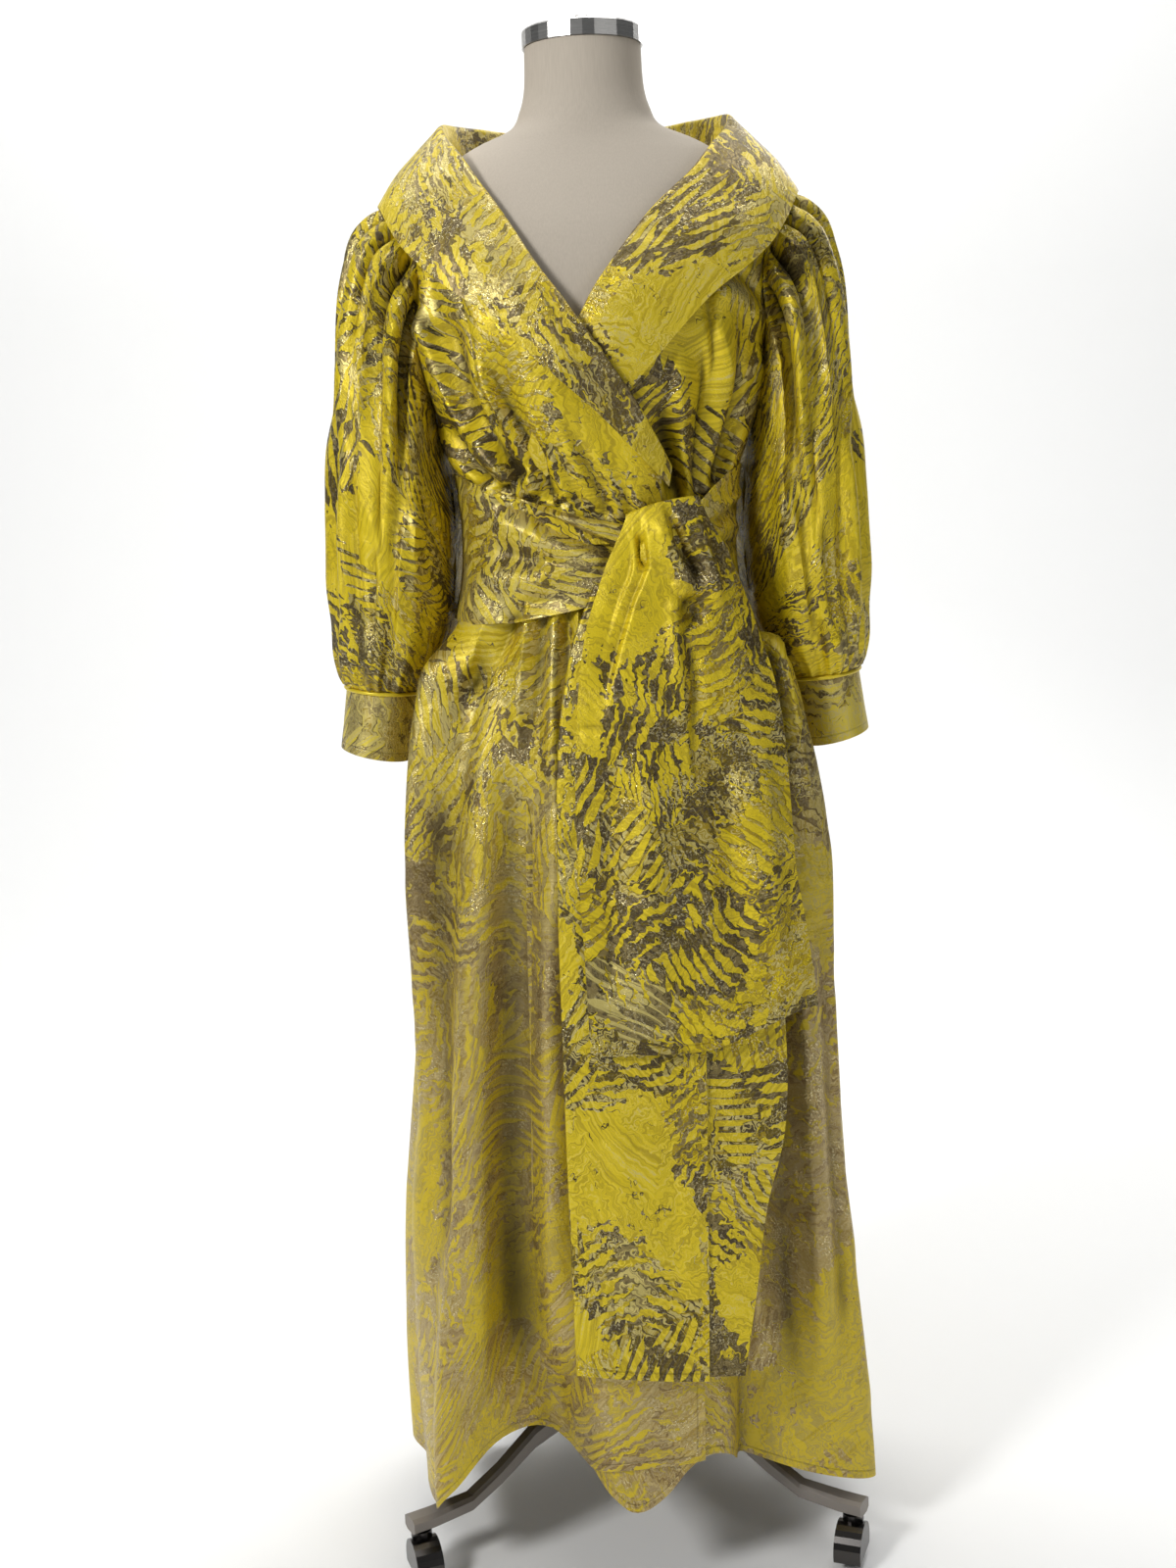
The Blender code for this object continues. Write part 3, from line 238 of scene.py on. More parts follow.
# The wide tail, from the top of the knot down: left and right edge in the
# front view, and how far its left, middle and right stand before the gown.
# Columns: z, left, right, lift_left, lift_mid, lift_right
TAIL_FRONT = (
    (1058, 22, 90, 25, 28, 24),
    (1040, 15, 98, 29, 35, 29),
    (1016, 6, 112, 30, 39, 32),
    (985, -4, 126, 30, 39, 32),
    (951, -16, 138, 29, 36, 29),
    (910, -24, 150, 28, 33, 27),
    (865, -29, 160, 28, 31, 26),
    (793, -33, 166, 27, 29, 25),
    (700, -32, 170, 27, 29, 25),
    (640, -30, 178, 29, 31, 26),
    (556, -28, 187, 31, 32, 27),
)
TAIL_UNDER = (
    (984, -6, 66, 22.3, 22.9, 22.3),
    (930, -28, 74, 22, 23, 22),
    (840, -44, 78, 20, 21, 20),
    (700, -50, 80, 19.5, 20.5, 19.5),
    (560, -51, 79, 22, 23, 22),
    (400, -51, 76, 26, 27, 25),
    (250, -50, 72, 33, 34, 32),
)
# The long tail is folded lengthwise: how far its back layer shows past the face
# Columns: z, width
TAIL_BACK_LAYER = ((984, 30), (700, 66), (560, 76), (470, 74), (400, 56), (330, 46), (250, 34))
TAIL_FOLD_SIZE = 0.0060    # across the fold between the two layers
TAIL_FOLD_TURN = 75        # how far round that fold bends each way, in degrees
# The knot's core: columns share of its length, half height, half depth
KNOT_RINGS = ((0, 8, 5), (0.12, 16, 9), (0.4, 22, 10.8), (0.7, 21, 10.6), (0.9, 15, 8.4), (1, 8, 4.5))
KNOT_START = (0.034, 1.012)    # x and z of its end at the wearer's right
KNOT_RUN = (0.048, 0.010)      # how far it runs to the wearer's left and up
KNOT_LIFT = 0.0280         # middle of the knot's core over the gown
WIDE_TAIL_BACK = 0.008     # how far behind its face the wide tail starts, above the knot
WIDE_TAIL_ARCH = 0.0034    # how high it arches on its way forward
WIDE_TAIL_START_DROP = 0.001
WIDE_TAIL_SLANT = 0.014    # how far the wide tail's top drops to its left
WIDE_TAIL_SLANT_END = 0.98    # the height at which that ends
WIDE_TAIL_HEM_RISE = 0.030    # how far its hem rises to its right
WIDE_TAIL_RISE_FROM = 0.80    # the height, and the share of the width, from which it does
WIDE_TAIL_RISE_SHARE = 0.45
LONG_TAIL_HEM_DROP = 0.012    # how far the long tail's hem drops to its right

# Creases, placed one by one. A row gives how far the crease stands out (a trough
# is negative), its reach to the left and to the right of the way it runs, the
# share of its length over which it fades in and out, and the points it runs
# through. Points on the front are x and z; points round the body are angle and z.
# Columns: height, left, right, fade_in, fade_out, points
BODICE_RIGHT_CREASES = (
    (13, 20, 4, 0.05, 0.2, ((-76, 1080), (-102, 1116), (-128, 1154), (-147, 1209), (-156, 1246))),
    (-12, 5, 17, 0.05, 0.25, ((-67, 1078), (-91, 1114), (-116, 1154), (-132, 1206), (-140, 1240))),
    (9, 12, 4, 0, 0.3, ((-98, 1076), (-130, 1106), (-152, 1150))),
    (-9, 4, 9, 0, 0.3, ((-89, 1074), (-121, 1106), (-143, 1148))),
    (10, 18, 5, 0.05, 0.35, ((-52, 1068), (-76, 1112), (-102, 1164), (-120, 1220))),
    (-10.5, 4, 13, 0, 0.45, ((-44, 1066), (-65, 1112), (-89, 1164), (-104, 1210))),
    (5, 16, 7, 0.05, 0.45, ((-28, 1060), (-50, 1108), (-76, 1158), (-94, 1202))),
    (-5.5, 6, 12, 0, 0.5, ((-20, 1058), (-42, 1110), (-64, 1160))),
    (4, 13, 6, 0.05, 0.5, ((-4, 1052), (-24, 1102), (-46, 1150))),
    (-4, 5, 10, 0, 0.5, ((4, 1050), (-16, 1100), (-32, 1136))),
    (3, 10, 6, 0, 0.5, ((18, 1047), (4, 1092), (-14, 1126))),
    (-3, 5, 8, 0, 0.6, ((26, 1046), (16, 1084))),
    (4, 5, 4, 0, 0.6, ((38, 1046), (28, 1076))),
    (-6, 3, 6, 0.3, 0.3, ((-74, 1100), (-90, 1128), (-112, 1180), (-128, 1250), (-134, 1290))),
    (-3, 5, 8, 0.3, 0.4, ((-34, 1066), (-58, 1118), (-84, 1172), (-100, 1220))),
    (5, 12, 6, 0.3, 0.5, ((-146, 1196), (-152, 1250), (-158, 1300))),
    (-5, 6, 12, 0.3, 0.5, ((-124, 1212), (-132, 1260), (-138, 1300))),
)
BODICE_LEFT_CREASES = (
    (9, 5, 15, 0, 0.4, ((84, 1056), (76, 1110), (72, 1160), (77, 1206))),
    (-10, 11, 4, 0, 0.45, ((76, 1056), (65, 1108), (58, 1158))),
    (10, 5, 15, 0, 0.3, ((98, 1066), (105, 1110), (117, 1164), (113, 1220))),
    (-11, 11, 4, 0, 0.35, ((90, 1060), (92, 1110), (100, 1164), (93, 1210))),
    (9, 5, 14, 0, 0.25, ((109, 1074), (129, 1112), (147, 1156), (154, 1208))),
    (-11, 10, 4, 0, 0.3, ((104, 1074), (118, 1112), (132, 1156), (137, 1206))),
    (-6, 6, 3, 0.1, 0.3, ((95, 1068), (100, 1120), (110, 1180), (104, 1240), (110, 1290))),
    (8, 18, 10, 0.3, 0.3, ((98, 1226), (122, 1238), (143, 1226), (152, 1196))),
    (-8, 6, 10, 0.25, 0.3, ((96, 1250), (122, 1262), (146, 1250), (158, 1224))),
    (-5, 5, 9, 0.1, 0.6, ((66, 1060), (56, 1106), (48, 1140))),
    (4.5, 5, 7, 0, 0.6, ((60, 1050), (50, 1092), (40, 1118))),
)
BODICE_BACK_CREASES = (
    (4.9, 5, 9, 0, 0.6, ((206, 1050), (212, 1110), (222, 1170), (226, 1230))),
    (-4.9, 5, 6, 0, 0.6, ((214, 1050), (220, 1104), (232, 1160))),
    (4.9, 5, 8, 0, 0.7, ((236, 1050), (238, 1100), (243, 1150))),
    (-4.2, 5, 6, 0, 0.6, ((246, 1050), (249, 1110))),
    (4.2, 5, 8, 0, 0.6, ((262, 1050), (262, 1108), (258, 1170))),
    (-4.2, 5, 6, 0, 0.7, ((272, 1050), (271, 1120))),
    (4.5, 6, 8, 0, 0.6, ((286, 1050), (284, 1110), (279, 1176))),
    (-4.5, 5, 6, 0, 0.6, ((298, 1050), (295, 1106), (288, 1154))),
    (4.9, 6, 9, 0, 0.6, ((316, 1050), (312, 1110), (306, 1180), (302, 1240))),
    (-4.9, 5, 6, 0, 0.6, ((326, 1050), (322, 1110), (316, 1160))),
)
SKIRT_FRONT_CREASES = (
    (13, 4, 26, 0, 0.3, ((-98, 962), (-103, 948), (-116, 926), (-136, 896), (-153, 872))),
    (-11, 14, 6, 0, 0.75, ((-87, 962), (-95, 938), (-107, 914), (-129, 884), (-152, 850))),
    (8, 5, 13, 0, 0.5, ((-68, 968), (-76, 900), (-90, 780))),
    (-8.5, 7, 8, 0, 0.6, ((-56, 968), (-63, 890), (-70, 750))),
    (7.5, 5, 11, 0, 0.5, ((-43, 968), (-48, 880), (-56, 690))),
    (-7.5, 5, 8, 0, 0.6, ((-32, 968), (-35, 880), (-42, 680))),
    (6, 4, 9, 0, 0.5, ((-23, 968), (-25, 880), (-30, 720))),
    (-6, 4, 7, 0, 0.6, ((-13, 968), (-15, 880), (-20, 700))),
    (12, 16, 24, 0.3, 0.1, ((-112, 880), (-124, 700), (-138, 480), (-150, 180))),
    (-13, 22, 26, 0.3, 0.2, ((-84, 860), (-94, 680), (-106, 440), (-112, 160))),
    (-11, 12, 16, 0.3, 0.2, ((-158, 840), (-170, 660), (-182, 300))),
    (10, 12, 18, 0.3, 0.1, ((-56, 800), (-68, 500), (-74, 190))),
    (-10, 14, 12, 0.3, 0.2, ((-38, 740), (-48, 460), (-50, 220))),
    (8, 10, 12, 0.3, 0.2, ((-22, 700), (-27, 440), (-30, 200))),
    (10, 4, 20, 0, 0.4, ((126, 990), (146, 960), (160, 926), (182, 820), (196, 700))),
    (-11, 13, 4, 0, 0.5, ((116, 990), (133, 952), (145, 900), (166, 760))),
    (10, 12, 18, 0.3, 0.2, ((112, 700), (120, 420), (126, 170))),
    (-13, 12, 20, 0.3, 0.2, ((142, 780), (154, 440), (162, 160))),
    (11, 16, 10, 0.3, 0.2, ((170, 740), (184, 440), (194, 160))),
    (-10, 12, 14, 0.3, 0.2, ((88, 640), (94, 400), (96, 190))),
    (-9, 10, 10, 0.3, 0.2, ((198, 760), (208, 440), (214, 200))),
)
SKIRT_BACK_CREASES = (
    (5.6, 5, 9, 0, 0.6, ((200, 950), (202, 880), (205, 780))),
    (-5.6, 4, 6, 0, 0.7, ((209, 950), (211, 870), (214, 740))),
    (5.6, 5, 9, 0, 0.6, ((222, 950), (224, 860), (226, 720))),
    (-4.8, 4, 7, 0, 0.6, ((233, 950), (235, 860), (236, 760))),
    (5.6, 5, 9, 0, 0.6, ((246, 950), (247, 850), (249, 700))),
    (-5.6, 4, 6, 0, 0.7, ((258, 950), (259, 870), (260, 730))),
    (5.6, 5, 10, 0, 0.6, ((271, 950), (271, 860), (272, 700))),
    (-4.8, 5, 6, 0, 0.6, ((283, 950), (283, 870), (284, 760))),
    (5.6, 5, 9, 0, 0.6, ((295, 950), (294, 850), (293, 710))),
    (-5.6, 4, 7, 0, 0.7, ((307, 950), (305, 860), (303, 740))),
    (5.6, 5, 9, 0, 0.6, ((318, 950), (316, 870), (314, 760))),
    (-4.8, 4, 6, 0, 0.6, ((330, 950), (328, 880), (326, 800))),
    (4.8, 14, 18, 0.4, 0.5, ((236, 600), (238, 420), (236, 250))),
    (-4.8, 12, 14, 0.4, 0.5, ((264, 640), (266, 460), (265, 260))),
    (4.8, 14, 16, 0.4, 0.5, ((296, 600), (300, 430), (298, 240))),
)
SASH_FRONT_CREASES = (
    (10, 28, 3, 0.12, 0, ((-96, 1078), (-50, 1054), (-14, 1036), (16, 1021))),
    (-12, 4, 9, 0.08, 0, ((-98, 1072), (-52, 1047), (-16, 1029), (16, 1014))),
    (6.5, 9, 16, 0.3, 0.1, ((-112, 1050), (-78, 1038), (-40, 1020), (10, 1003))),
    (-6, 8, 11, 0.3, 0.1, ((-118, 1028), (-80, 1013), (-34, 1001), (10, 992))),
    (7, 12, 15, 0, 0.3, ((-120, 962), (-108, 988), (-72, 992), (-20, 984))),
    (-7, 7, 9, 0, 0.4, ((-86, 954), (-66, 971), (-28, 973))),
    (5, 8, 8, 0.2, 0, ((-64, 1002), (-30, 996), (8, 986))),
    (5, 8, 14, 0.3, 0.5, ((-128, 1080), (-112, 1066), (-90, 1062))),
)
SASH_BACK_CREASES = (
    (3.1, 8, 10, 0.3, 0.3, ((188, 1062), (212, 1052), (240, 1044))),
    (-2.5, 7, 8, 0.3, 0.3, ((196, 1030), (226, 1022), (252, 1020))),
    (3.1, 8, 10, 0.3, 0.3, ((232, 1066), (262, 1058), (296, 1062))),
    (-2.5, 7, 8, 0.3, 0.3, ((250, 990), (284, 996), (318, 1010))),
    (3.1, 8, 10, 0.3, 0.3, ((276, 1022), (310, 1034), (348, 1056))),
    (-2.5, 6, 8, 0.3, 0.3, ((200, 975), (232, 970), (262, 976))),
)
SASH_LEFT_CREASES = (
    (3.9, 5, 7, 0.2, 0, ((6, 1062), (26, 1058), (48, 1042))),
    (-3.4, 4, 5, 0.2, 0, ((4, 1048), (26, 1046), (48, 1033))),
    (3.4, 5, 7, 0.2, 0, ((8, 1026), (28, 1030), (48, 1024))),
    (-2.9, 4, 5, 0.2, 0, ((12, 1008), (30, 1016), (48, 1015))),
)
WIDE_TAIL_CREASES = (
    (-7, 3, 18, 0.25, 0.4, ((33, 1058), (37, 1004), (22, 965), (2, 904), (-8, 850))),
    (5, 18, 3, 0.25, 0.5, ((25, 1058), (29, 1004), (14, 965), (-7, 904))),
    (-9, 3, 5, 0.3, 0.3, ((32, 1034), (35, 1014), (40, 994))),
    (8, 5, 12, 0.30, 0.3, ((50, 1060), (60, 1024), (72, 998), (86, 980))),
    (-9, 4, 7, 0.30, 0.3, ((60, 1060), (71, 1022), (83, 998), (93, 984))),
    (8, 6, 7, 0.30, 0.3, ((84, 1060), (91, 1016), (100, 986), (102, 952))),
    (-13, 13, 16, 0.3, 0.4, ((68, 972), (82, 960), (90, 938))),
    (6, 10, 3, 0.15, 0.15, ((60, 986), (74, 975), (90, 976), (102, 988))),
    (6.5, 5, 9, 0.2, 0.4, ((61, 980), (66, 955), (63, 930), (67, 892), (65, 838))),
    (-6.5, 12, 4, 0.2, 0.5, ((76, 944), (79, 892), (77, 840), (81, 780))),
    (5, 16, 2.5, 0.1, 0.6, ((112, 1020), (128, 990), (146, 950), (154, 896), (166, 851))),
    (-5, 2.5, 8, 0.1, 0.6, ((117, 1018), (134, 988), (152, 950), (161, 896), (172, 851))),
    (3, 4, 9, 0.1, 0.3, ((-28, 852), (10, 849), (62, 852))),
    (-2.5, 3, 5, 0.1, 0.3, ((-28, 860), (12, 857), (58, 860))),
    (8, 14, 22, 0.3, 0.3, ((40, 840), (36, 720), (30, 590))),
    (-8, 14, 16, 0.3, 0.3, ((98, 880), (106, 740), (112, 590))),
    (8, 12, 16, 0.3, 0.3, ((134, 870), (142, 720), (148, 600))),
    (-7, 10, 12, 0.3, 0.3, ((-2, 810), (-6, 700), (-4, 600))),
    (2, 8, 10, 0.3, 0.3, ((-20, 700), (40, 690), (110, 706))),
)
LONG_TAIL_CREASES = (
    (2.6, 14, 16, 0.3, 0.3, ((-6, 540), (-2, 420), (2, 280))),
    (-2.6, 10, 12, 0.3, 0.3, ((40, 530), (42, 400), (38, 270))),
    (1.6, 4, 5, 0.2, 0.2, ((-46, 470), (0, 466), (60, 470))),
    (-1.6, 4, 5, 0.2, 0.2, ((-46, 338), (10, 334), (66, 339))),
)
# Round a sleeve the points are the turn from its outer side, positive to the
# front, and how far down the sleeve in millimetres.
SLEEVE_CREASES = (
    (8, 3, 11, 0, 0.5, ((4, 0), (6, 60), (8, 160), (6, 340))),
    (-9, 3, 6, 0, 0.6, ((13, 0), (16, 60), (20, 190))),
    (8, 3, 11, 0, 0.4, ((27, 0), (30, 70), (34, 200), (36, 400))),
    (-9, 3, 6, 0, 0.5, ((37, 0), (41, 60), (46, 200))),
    (9, 3, 12, 0, 0.4, ((50, 0), (55, 60), (60, 180), (64, 380))),
    (-10, 3, 7, 0, 0.5, ((61, 0), (67, 60), (74, 200))),
    (9, 3, 12, 0, 0.4, ((75, 0), (82, 70), (88, 200), (92, 400))),
    (-10, 3, 7, 0, 0.5, ((86, 0), (94, 60), (101, 220))),
    (8, 3, 11, 0, 0.4, ((98, 0), (106, 80), (113, 220), (116, 400))),
    (8, 11, 3, 0, 0.5, ((-16, 0), (-18, 70), (-22, 180), (-20, 360))),
    (-9, 6, 3, 0, 0.6, ((-26, 0), (-29, 60), (-34, 190))),
    (8, 11, 3, 0, 0.5, ((-42, 0), (-46, 70), (-52, 200), (-50, 380))),
    (-9, 6, 3, 0, 0.5, ((-54, 0), (-59, 60), (-66, 190))),
    (8, 11, 3, 0, 0.5, ((-70, 0), (-76, 60), (-82, 190), (-84, 380))),
    (-8, 6, 3, 0, 0.5, ((-83, 0), (-90, 60), (-98, 180))),
    (-9, 14, 26, 0.3, 0.4, ((62, 60), (70, 150), (84, 260), (88, 340))),
    (8, 9, 16, 0.3, 0.25, ((-6, 200), (2, 320), (-4, 450))),
    (8, 9, 16, 0.3, 0.25, ((50, 230), (44, 330), (50, 450))),
    (-9, 9, 14, 0.3, 0.25, ((26, 200), (30, 320), (24, 450))),
    (-9, 10, 14, 0.3, 0.25, ((-36, 200), (-32, 320), (-40, 450))),
    (8, 10, 15, 0.3, 0.25, ((-70, 220), (-64, 330), (-70, 450))),
    (9, 9, 14, 0.3, 0.25, ((110, 200), (104, 320), (106, 450))),
    (-8.5, 8, 12, 0.4, 0.25, ((78, 280), (74, 360), (78, 450))),
)
# Small gathers over the cuff: turn and height of each
CUFF_GATHERS = (
    (-168, 3.0), (-154, 2.2), (-139, 3.4), (-126, 2.4), (-112, 3.6), (-99, 2.6), (-86, 3.8), (-74, 2.6),
    (-61, 3.6), (-49, 2.8), (-36, 4.0), (-23, 2.6), (-11, 3.6), (2, 2.8), (14, 3.8), (27, 2.8), (39, 4.0),
    (52, 2.6), (64, 3.8), (77, 2.8), (89, 3.6), (102, 2.6), (116, 3.4), (129, 2.4), (143, 3.2), (158, 2.6),
)
CUFF_GATHER_WIDE = 3.6     # half width of a gather, in degrees
CUFF_GATHER_LONG = 0.085   # how far up it fades

# How the cloth is made up: rows and columns of each piece's grid
GRID = {
    "bodice_front": (130, 120),
    "bodice_back": (92, 100),
    "skirt": (170, 130),
    "collar": (120,),
    "sleeve": (104, 180),
    "cuff": (16,),
    "sash_front": (110, 130),
    "sash_back": (48, 110),
    "sash_left": (48, 44),
    "knot": (36, 48),
    "wide_tail": (170, 112),
    "long_tail": (150, 56),
}
FORM_ROWS = 110
FORM_COLUMNS = 112
TURNED = [0, 3, 2, 1]      # the corners of a face, seen from its other side
SHARP_ANGLE = 55           # edges sharper than this are not smoothed
# The height and the length of the cloth's slight unevenness, in metres
CRUMPLE = {
    "bodice_front": (0.0005, 0.11),
    "bodice_back": (0.0006, 0.12),
    "skirt": (0.0013, 0.12),
    "collar": (0.0007, 0.10),
    "sleeve": (0.0007, 0.10),
    "cuff": (0.0004, 0.08),
    "wide_tail": (0.0011, 0.10),
}
# How far in from a piece's edges its creases fade to nothing
FADE = {
    "bodice_front": 0.006,
    "bodice_front_crumple": 0.010,
    "bodice_back": 0.008,
    "skirt": 0.012,
    "collar": 0.012,
    "sash_front": 0.004,
    "sash_back": 0.010,
    "armhole": 0.010,
    "cuff_seam": 0.004,
    "wide_tail": 0.1,
}
# A point behind each piece, which tells its inner side from its outer one
INSIDE = {
    "bodice": (0, 0, 1.2),
    "skirt": (0, 0, 0.5),
    "sash": (0, 0, 1.02),
    "wide_tail": (0, 0.3, 0.8),
    "long_tail": (0, 0.3, 0.6),
}
# What a degree round the body, or round a sleeve, counts for between creases
BODICE_DEGREE = 2.5
SKIRT_DEGREE = 2.8
SKIRT_CRUMPLE_DEGREE = 0.0033
SASH_DEGREE = 2.4
SLEEVE_DEGREE = 1.6
SLEEVE_SMOOTH_FROM = 100   # degrees from a sleeve's outer side at which it turns smooth
SLEEVE_SMOOTH_OVER = 50
# The painted shade of the body on a sleeve: how deep, between which heights, from
# which angle toward the back, and over how far it sets in at each of them
BODY_SHADE = 0.85
BODY_SHADE_TOP = (1.15, 0.07)
BODY_SHADE_LOW = (0.89, 0.05)
BODY_SHADE_FROM = 78
BODY_SHADE_OVER = 30
CUFF_GATHER_START = 0.006  # how far above the cuff a gather is at its full height
KNOT_CREASE = 0.0008       # height and number of the knot's folds
KNOT_CREASES = 5
BAND_CROWN = 0.002         # how far a sash band bulges between its edges
PIPING_RADIUS = 0.0019
PIPING_OUT = 0.0012        # middle of the piping outside the seam
PIPING_SIDES = 10
# Painted shade in the creases: how wide a crease is, and how deep one is that is fully dark
FOLD_SHADE_SIZE = (0.015, 0.0044)
SKIRT_FOLD_SHADE_SIZE = (0.036, 0.0100)
NO_HEM = 0.05              # distance from a hem that stands for none
STITCH_IN = 0.0075         # the hem's stitching, from its edge

# How the tone of the skirt changes on its way down: light, dark and tan
LOW_TONE = (0.17, -0.26, 0.74)
LOW_TONE_FROM = 0.95
LOW_TONE_OVER = 0.45

# The cloth pieces: the size and area that each is cut to, in metres, how it is
# held, what it rests on or hangs from, where on the cloth it is cut, and its
# share of light, dark and tan. Sleeves and cuffs are cut all round.
# Columns: width, length, area, held, under, cut_from, tone
PIECES = {
    "bodice_back": (0.45, 0.37, 0.135, "draped", "dress_form", (4.1, 1.5), (0.3, 0.5, 0.0)),
    "bodice_front_right": (0.29, 0.42, 0.076, "draped", "bodice_front_left", (1.3, 0.4), (0.22, 0.58, 0.0)),
    "bodice_front_left": (0.29, 0.42, 0.079, "draped", "dress_form", (2.6, 0.9), (0.22, 0.58, 0.0)),
    "collar_right": (0.20, 0.70, 0.072, "folded", "bodice_front_right", (11.0, 1.0), (0.34, 0.74, 0.10)),
    "collar_left": (0.20, 0.70, 0.077, "folded", "bodice_front_left", (12.5, 2.0), (0.34, 0.74, 0.10)),
    "sleeve_right": (0.66, 0.51, 0.200, "gathered", "bodice_back", (14.0, 0.5), (0.20, 0.60, 0.0)),
    "sleeve_left": (0.66, 0.51, 0.200, "gathered", "bodice_back", (16.0, 1.1), (0.20, 0.60, 0.0)),
    "cuff_right": (0.272, 0.063, 0.0171, "hung", "sleeve_right", (15.0, 2.7), (0.6, 0.6, 0.2)),
    "cuff_left": (0.270, 0.063, 0.0169, "hung", "sleeve_left", (17.0, 2.7), (0.6, 0.6, 0.2)),
    "skirt_back": (0.86, 0.96, 0.575, "gathered", "bodice_back", (6.0, 2.2), (0.33, 0.74, 0.08)),
    "skirt_front_right": (0.54, 0.92, 0.382, "gathered", "bodice_front_right", (7.7, 3.1),
                          (0.33, 0.74, 0.08)),
    "skirt_front_left": (0.58, 0.92, 0.402, "gathered", "bodice_front_left", (9.4, 0.2),
                         (0.33, 0.74, 0.08)),
    "sash_front": (0.29, 0.14, 0.034, "draped", "bodice_front_right", (18.0, 0.6), (0.42, 0.60, 0.1)),
    "sash_back": (0.42, 0.148, 0.055, "draped", "bodice_back", (19.5, 1.2), (0.45, 0.52, 0.1)),
    "sash_left": (0.13, 0.105, 0.0115, "gathered", "bodice_front_left", (20.5, 1.7), (0.35, 0.5, 0.1)),
    "sash_knot": (0.108, 0.058, 0.0050, "folded", "sash_front", (21.5, 0.3), (0.3, 0.5, 0.0)),
    "sash_tail_wide": (0.24, 0.54, 0.100, "hung", "sash_knot", (24.0, 1.4), (0.12, 0.80, 0.0)),
    "sash_tail_long": (0.36, 0.75, 0.236, "folded", "sash_knot", (27.0, 2.2), (0.26, 0.74, 0.0)),
}

# The brushwork's two layers. Columns: scale, stretch, period, seed
BRUSH_LAYERS = ((11.5, 1.2, 0.0090, 0.0), (12.0, 1.1, 0.0075, 31.7))
STROKE_LONG = 0.058        # how long one brush stroke is
STROKE_LEAN = 3.1          # range of the strokes' angle, in radians
STROKE_BEND = 1.5          # how sharply a comb is bent about its middle

# Colours of the brocade and the form
YELLOW = (0.73, 0.56, 0.008, 1.0)
PALE_YELLOW = (0.68, 0.545, 0.055, 1.0)
CREAM = (0.62, 0.515, 0.165, 1.0)
TAUPE = (0.086, 0.063, 0.032, 1.0)
GREY_GOLD = (0.25, 0.19, 0.070, 1.0)
GOLD = (0.38, 0.27, 0.018, 1.0)
GOLD_SHADE = (0.16, 0.115, 0.016, 1.0)
YELLOW_SHADE = (0.46, 0.34, 0.007, 1.0)
# The pale colour of the painted glints on the metallic ground
GLINT = (0.88, 0.78, 0.44, 1.0)
TAN = (0.320, 0.215, 0.085, 1.0)
TAN_PALE = (0.520, 0.400, 0.200, 1.0)
DEEP_YELLOW = (0.590, 0.430, 0.006, 1.0)
# A dark line of painted shade along the yellow strokes' edges, also the colour of the hem stitching
STROKE_SHADE_AND_STITCH = (0.030, 0.021, 0.004, 1.0)
FOLD_SHADE = (0.040, 0.027, 0.003, 1.0)
LINEN_DARK = (0.43, 0.376, 0.306, 1.0)
LINEN_PALE = (0.54, 0.478, 0.394, 1.0)

# The studio. Columns: name, place, aim, size, power
LIGHTS = (
    ("key_light", (-1.8, -2.0, 2.25), (0, 0, 0.85), (0.6, 0.6), 55),
    ("fill_light", (2.4, -2.4, 1.5), (0, 0, 0.8), (1.2, 1.6), 12),
    ("top_light", (0.3, -0.7, 3.3), (0, 0, 0.8), (0.9, 0.9), 9),
    ("back_light", (1.4, 2.0, 2.4), (0, 0, 0.9), (1.2, 1.2), 16),
    ("backdrop_light", (0, 0.9, 4.6), (0, 3.9, 0.6), (5.0, 1.0), 190),
)
SKY_STRENGTH = 0.12
SKY_COLOUR = (0.95, 0.97, 1.0, 1.0)
FLOOR_COLOUR = (0.88, 0.88, 0.87, 1.0)
FLOOR_FRONT = -6.0
FLOOR_SIDE = 8.0
FLOOR_BACK = 2.2           # where the floor begins to curve up
BACKDROP_BEND = 1.6        # radius of that curve
BACKDROP_TOP = 6.0

# The photo's camera
CAMERA_HEIGHT = 1.095
CAMERA_BACK = 1.80
CAMERA_SIDE = -0.021
CAMERA_PITCH = 10.0
CAMERA_ROLL = 2.2
CAMERA_LENS = 1865 / 1600 * 24


# The gown's form, as the solids have it

def smooth_read(table, column, at, period=None):
    """A column's value at a place between the rows, on a smooth curve through them."""
    rows = table if table[0][0] < table[-1][0] else table[::-1]
    keys = [row[0] for row in rows]
    values = [row[column] for row in rows]
    if period:
        at = at % period
        keys = [keys[-1] - period] + keys + [keys[0] + period, keys[1] + period]
        values = [values[-1]] + values + [values[0], values[1]]
    at = min(max(at, keys[0]), keys[-1])
    index = max(i for i in range(len(keys) - 1) if keys[i] <= at or i == 0)
    low = max(index - 1, 0)
    high = min(index + 2, len(keys) - 1)
    span = keys[index + 1] - keys[index]
    t = (at - keys[index]) / span
    slope_a = (values[index + 1] - values[low]) / (keys[index + 1] - keys[low]) * span
    slope_b = (values[high] - values[index]) / (keys[high] - keys[index]) * span
    a, b = values[index], values[index + 1]
    return (a * (2 * t ** 3 - 3 * t ** 2 + 1) + slope_a * (t ** 3 - 2 * t ** 2 + t)
            + b * (3 * t ** 2 - 2 * t ** 3) + slope_b * (t ** 3 - t ** 2))


def ramp(low, high, at):
    t = min(max((at - low) / (high - low), 0.0), 1.0)
    return t * t * (3 - 2 * t)


def section(table, z):
    return [smooth_read(table, c, z / MM) * (MM if c < 5 else 1.0) for c in range(1, 6)]


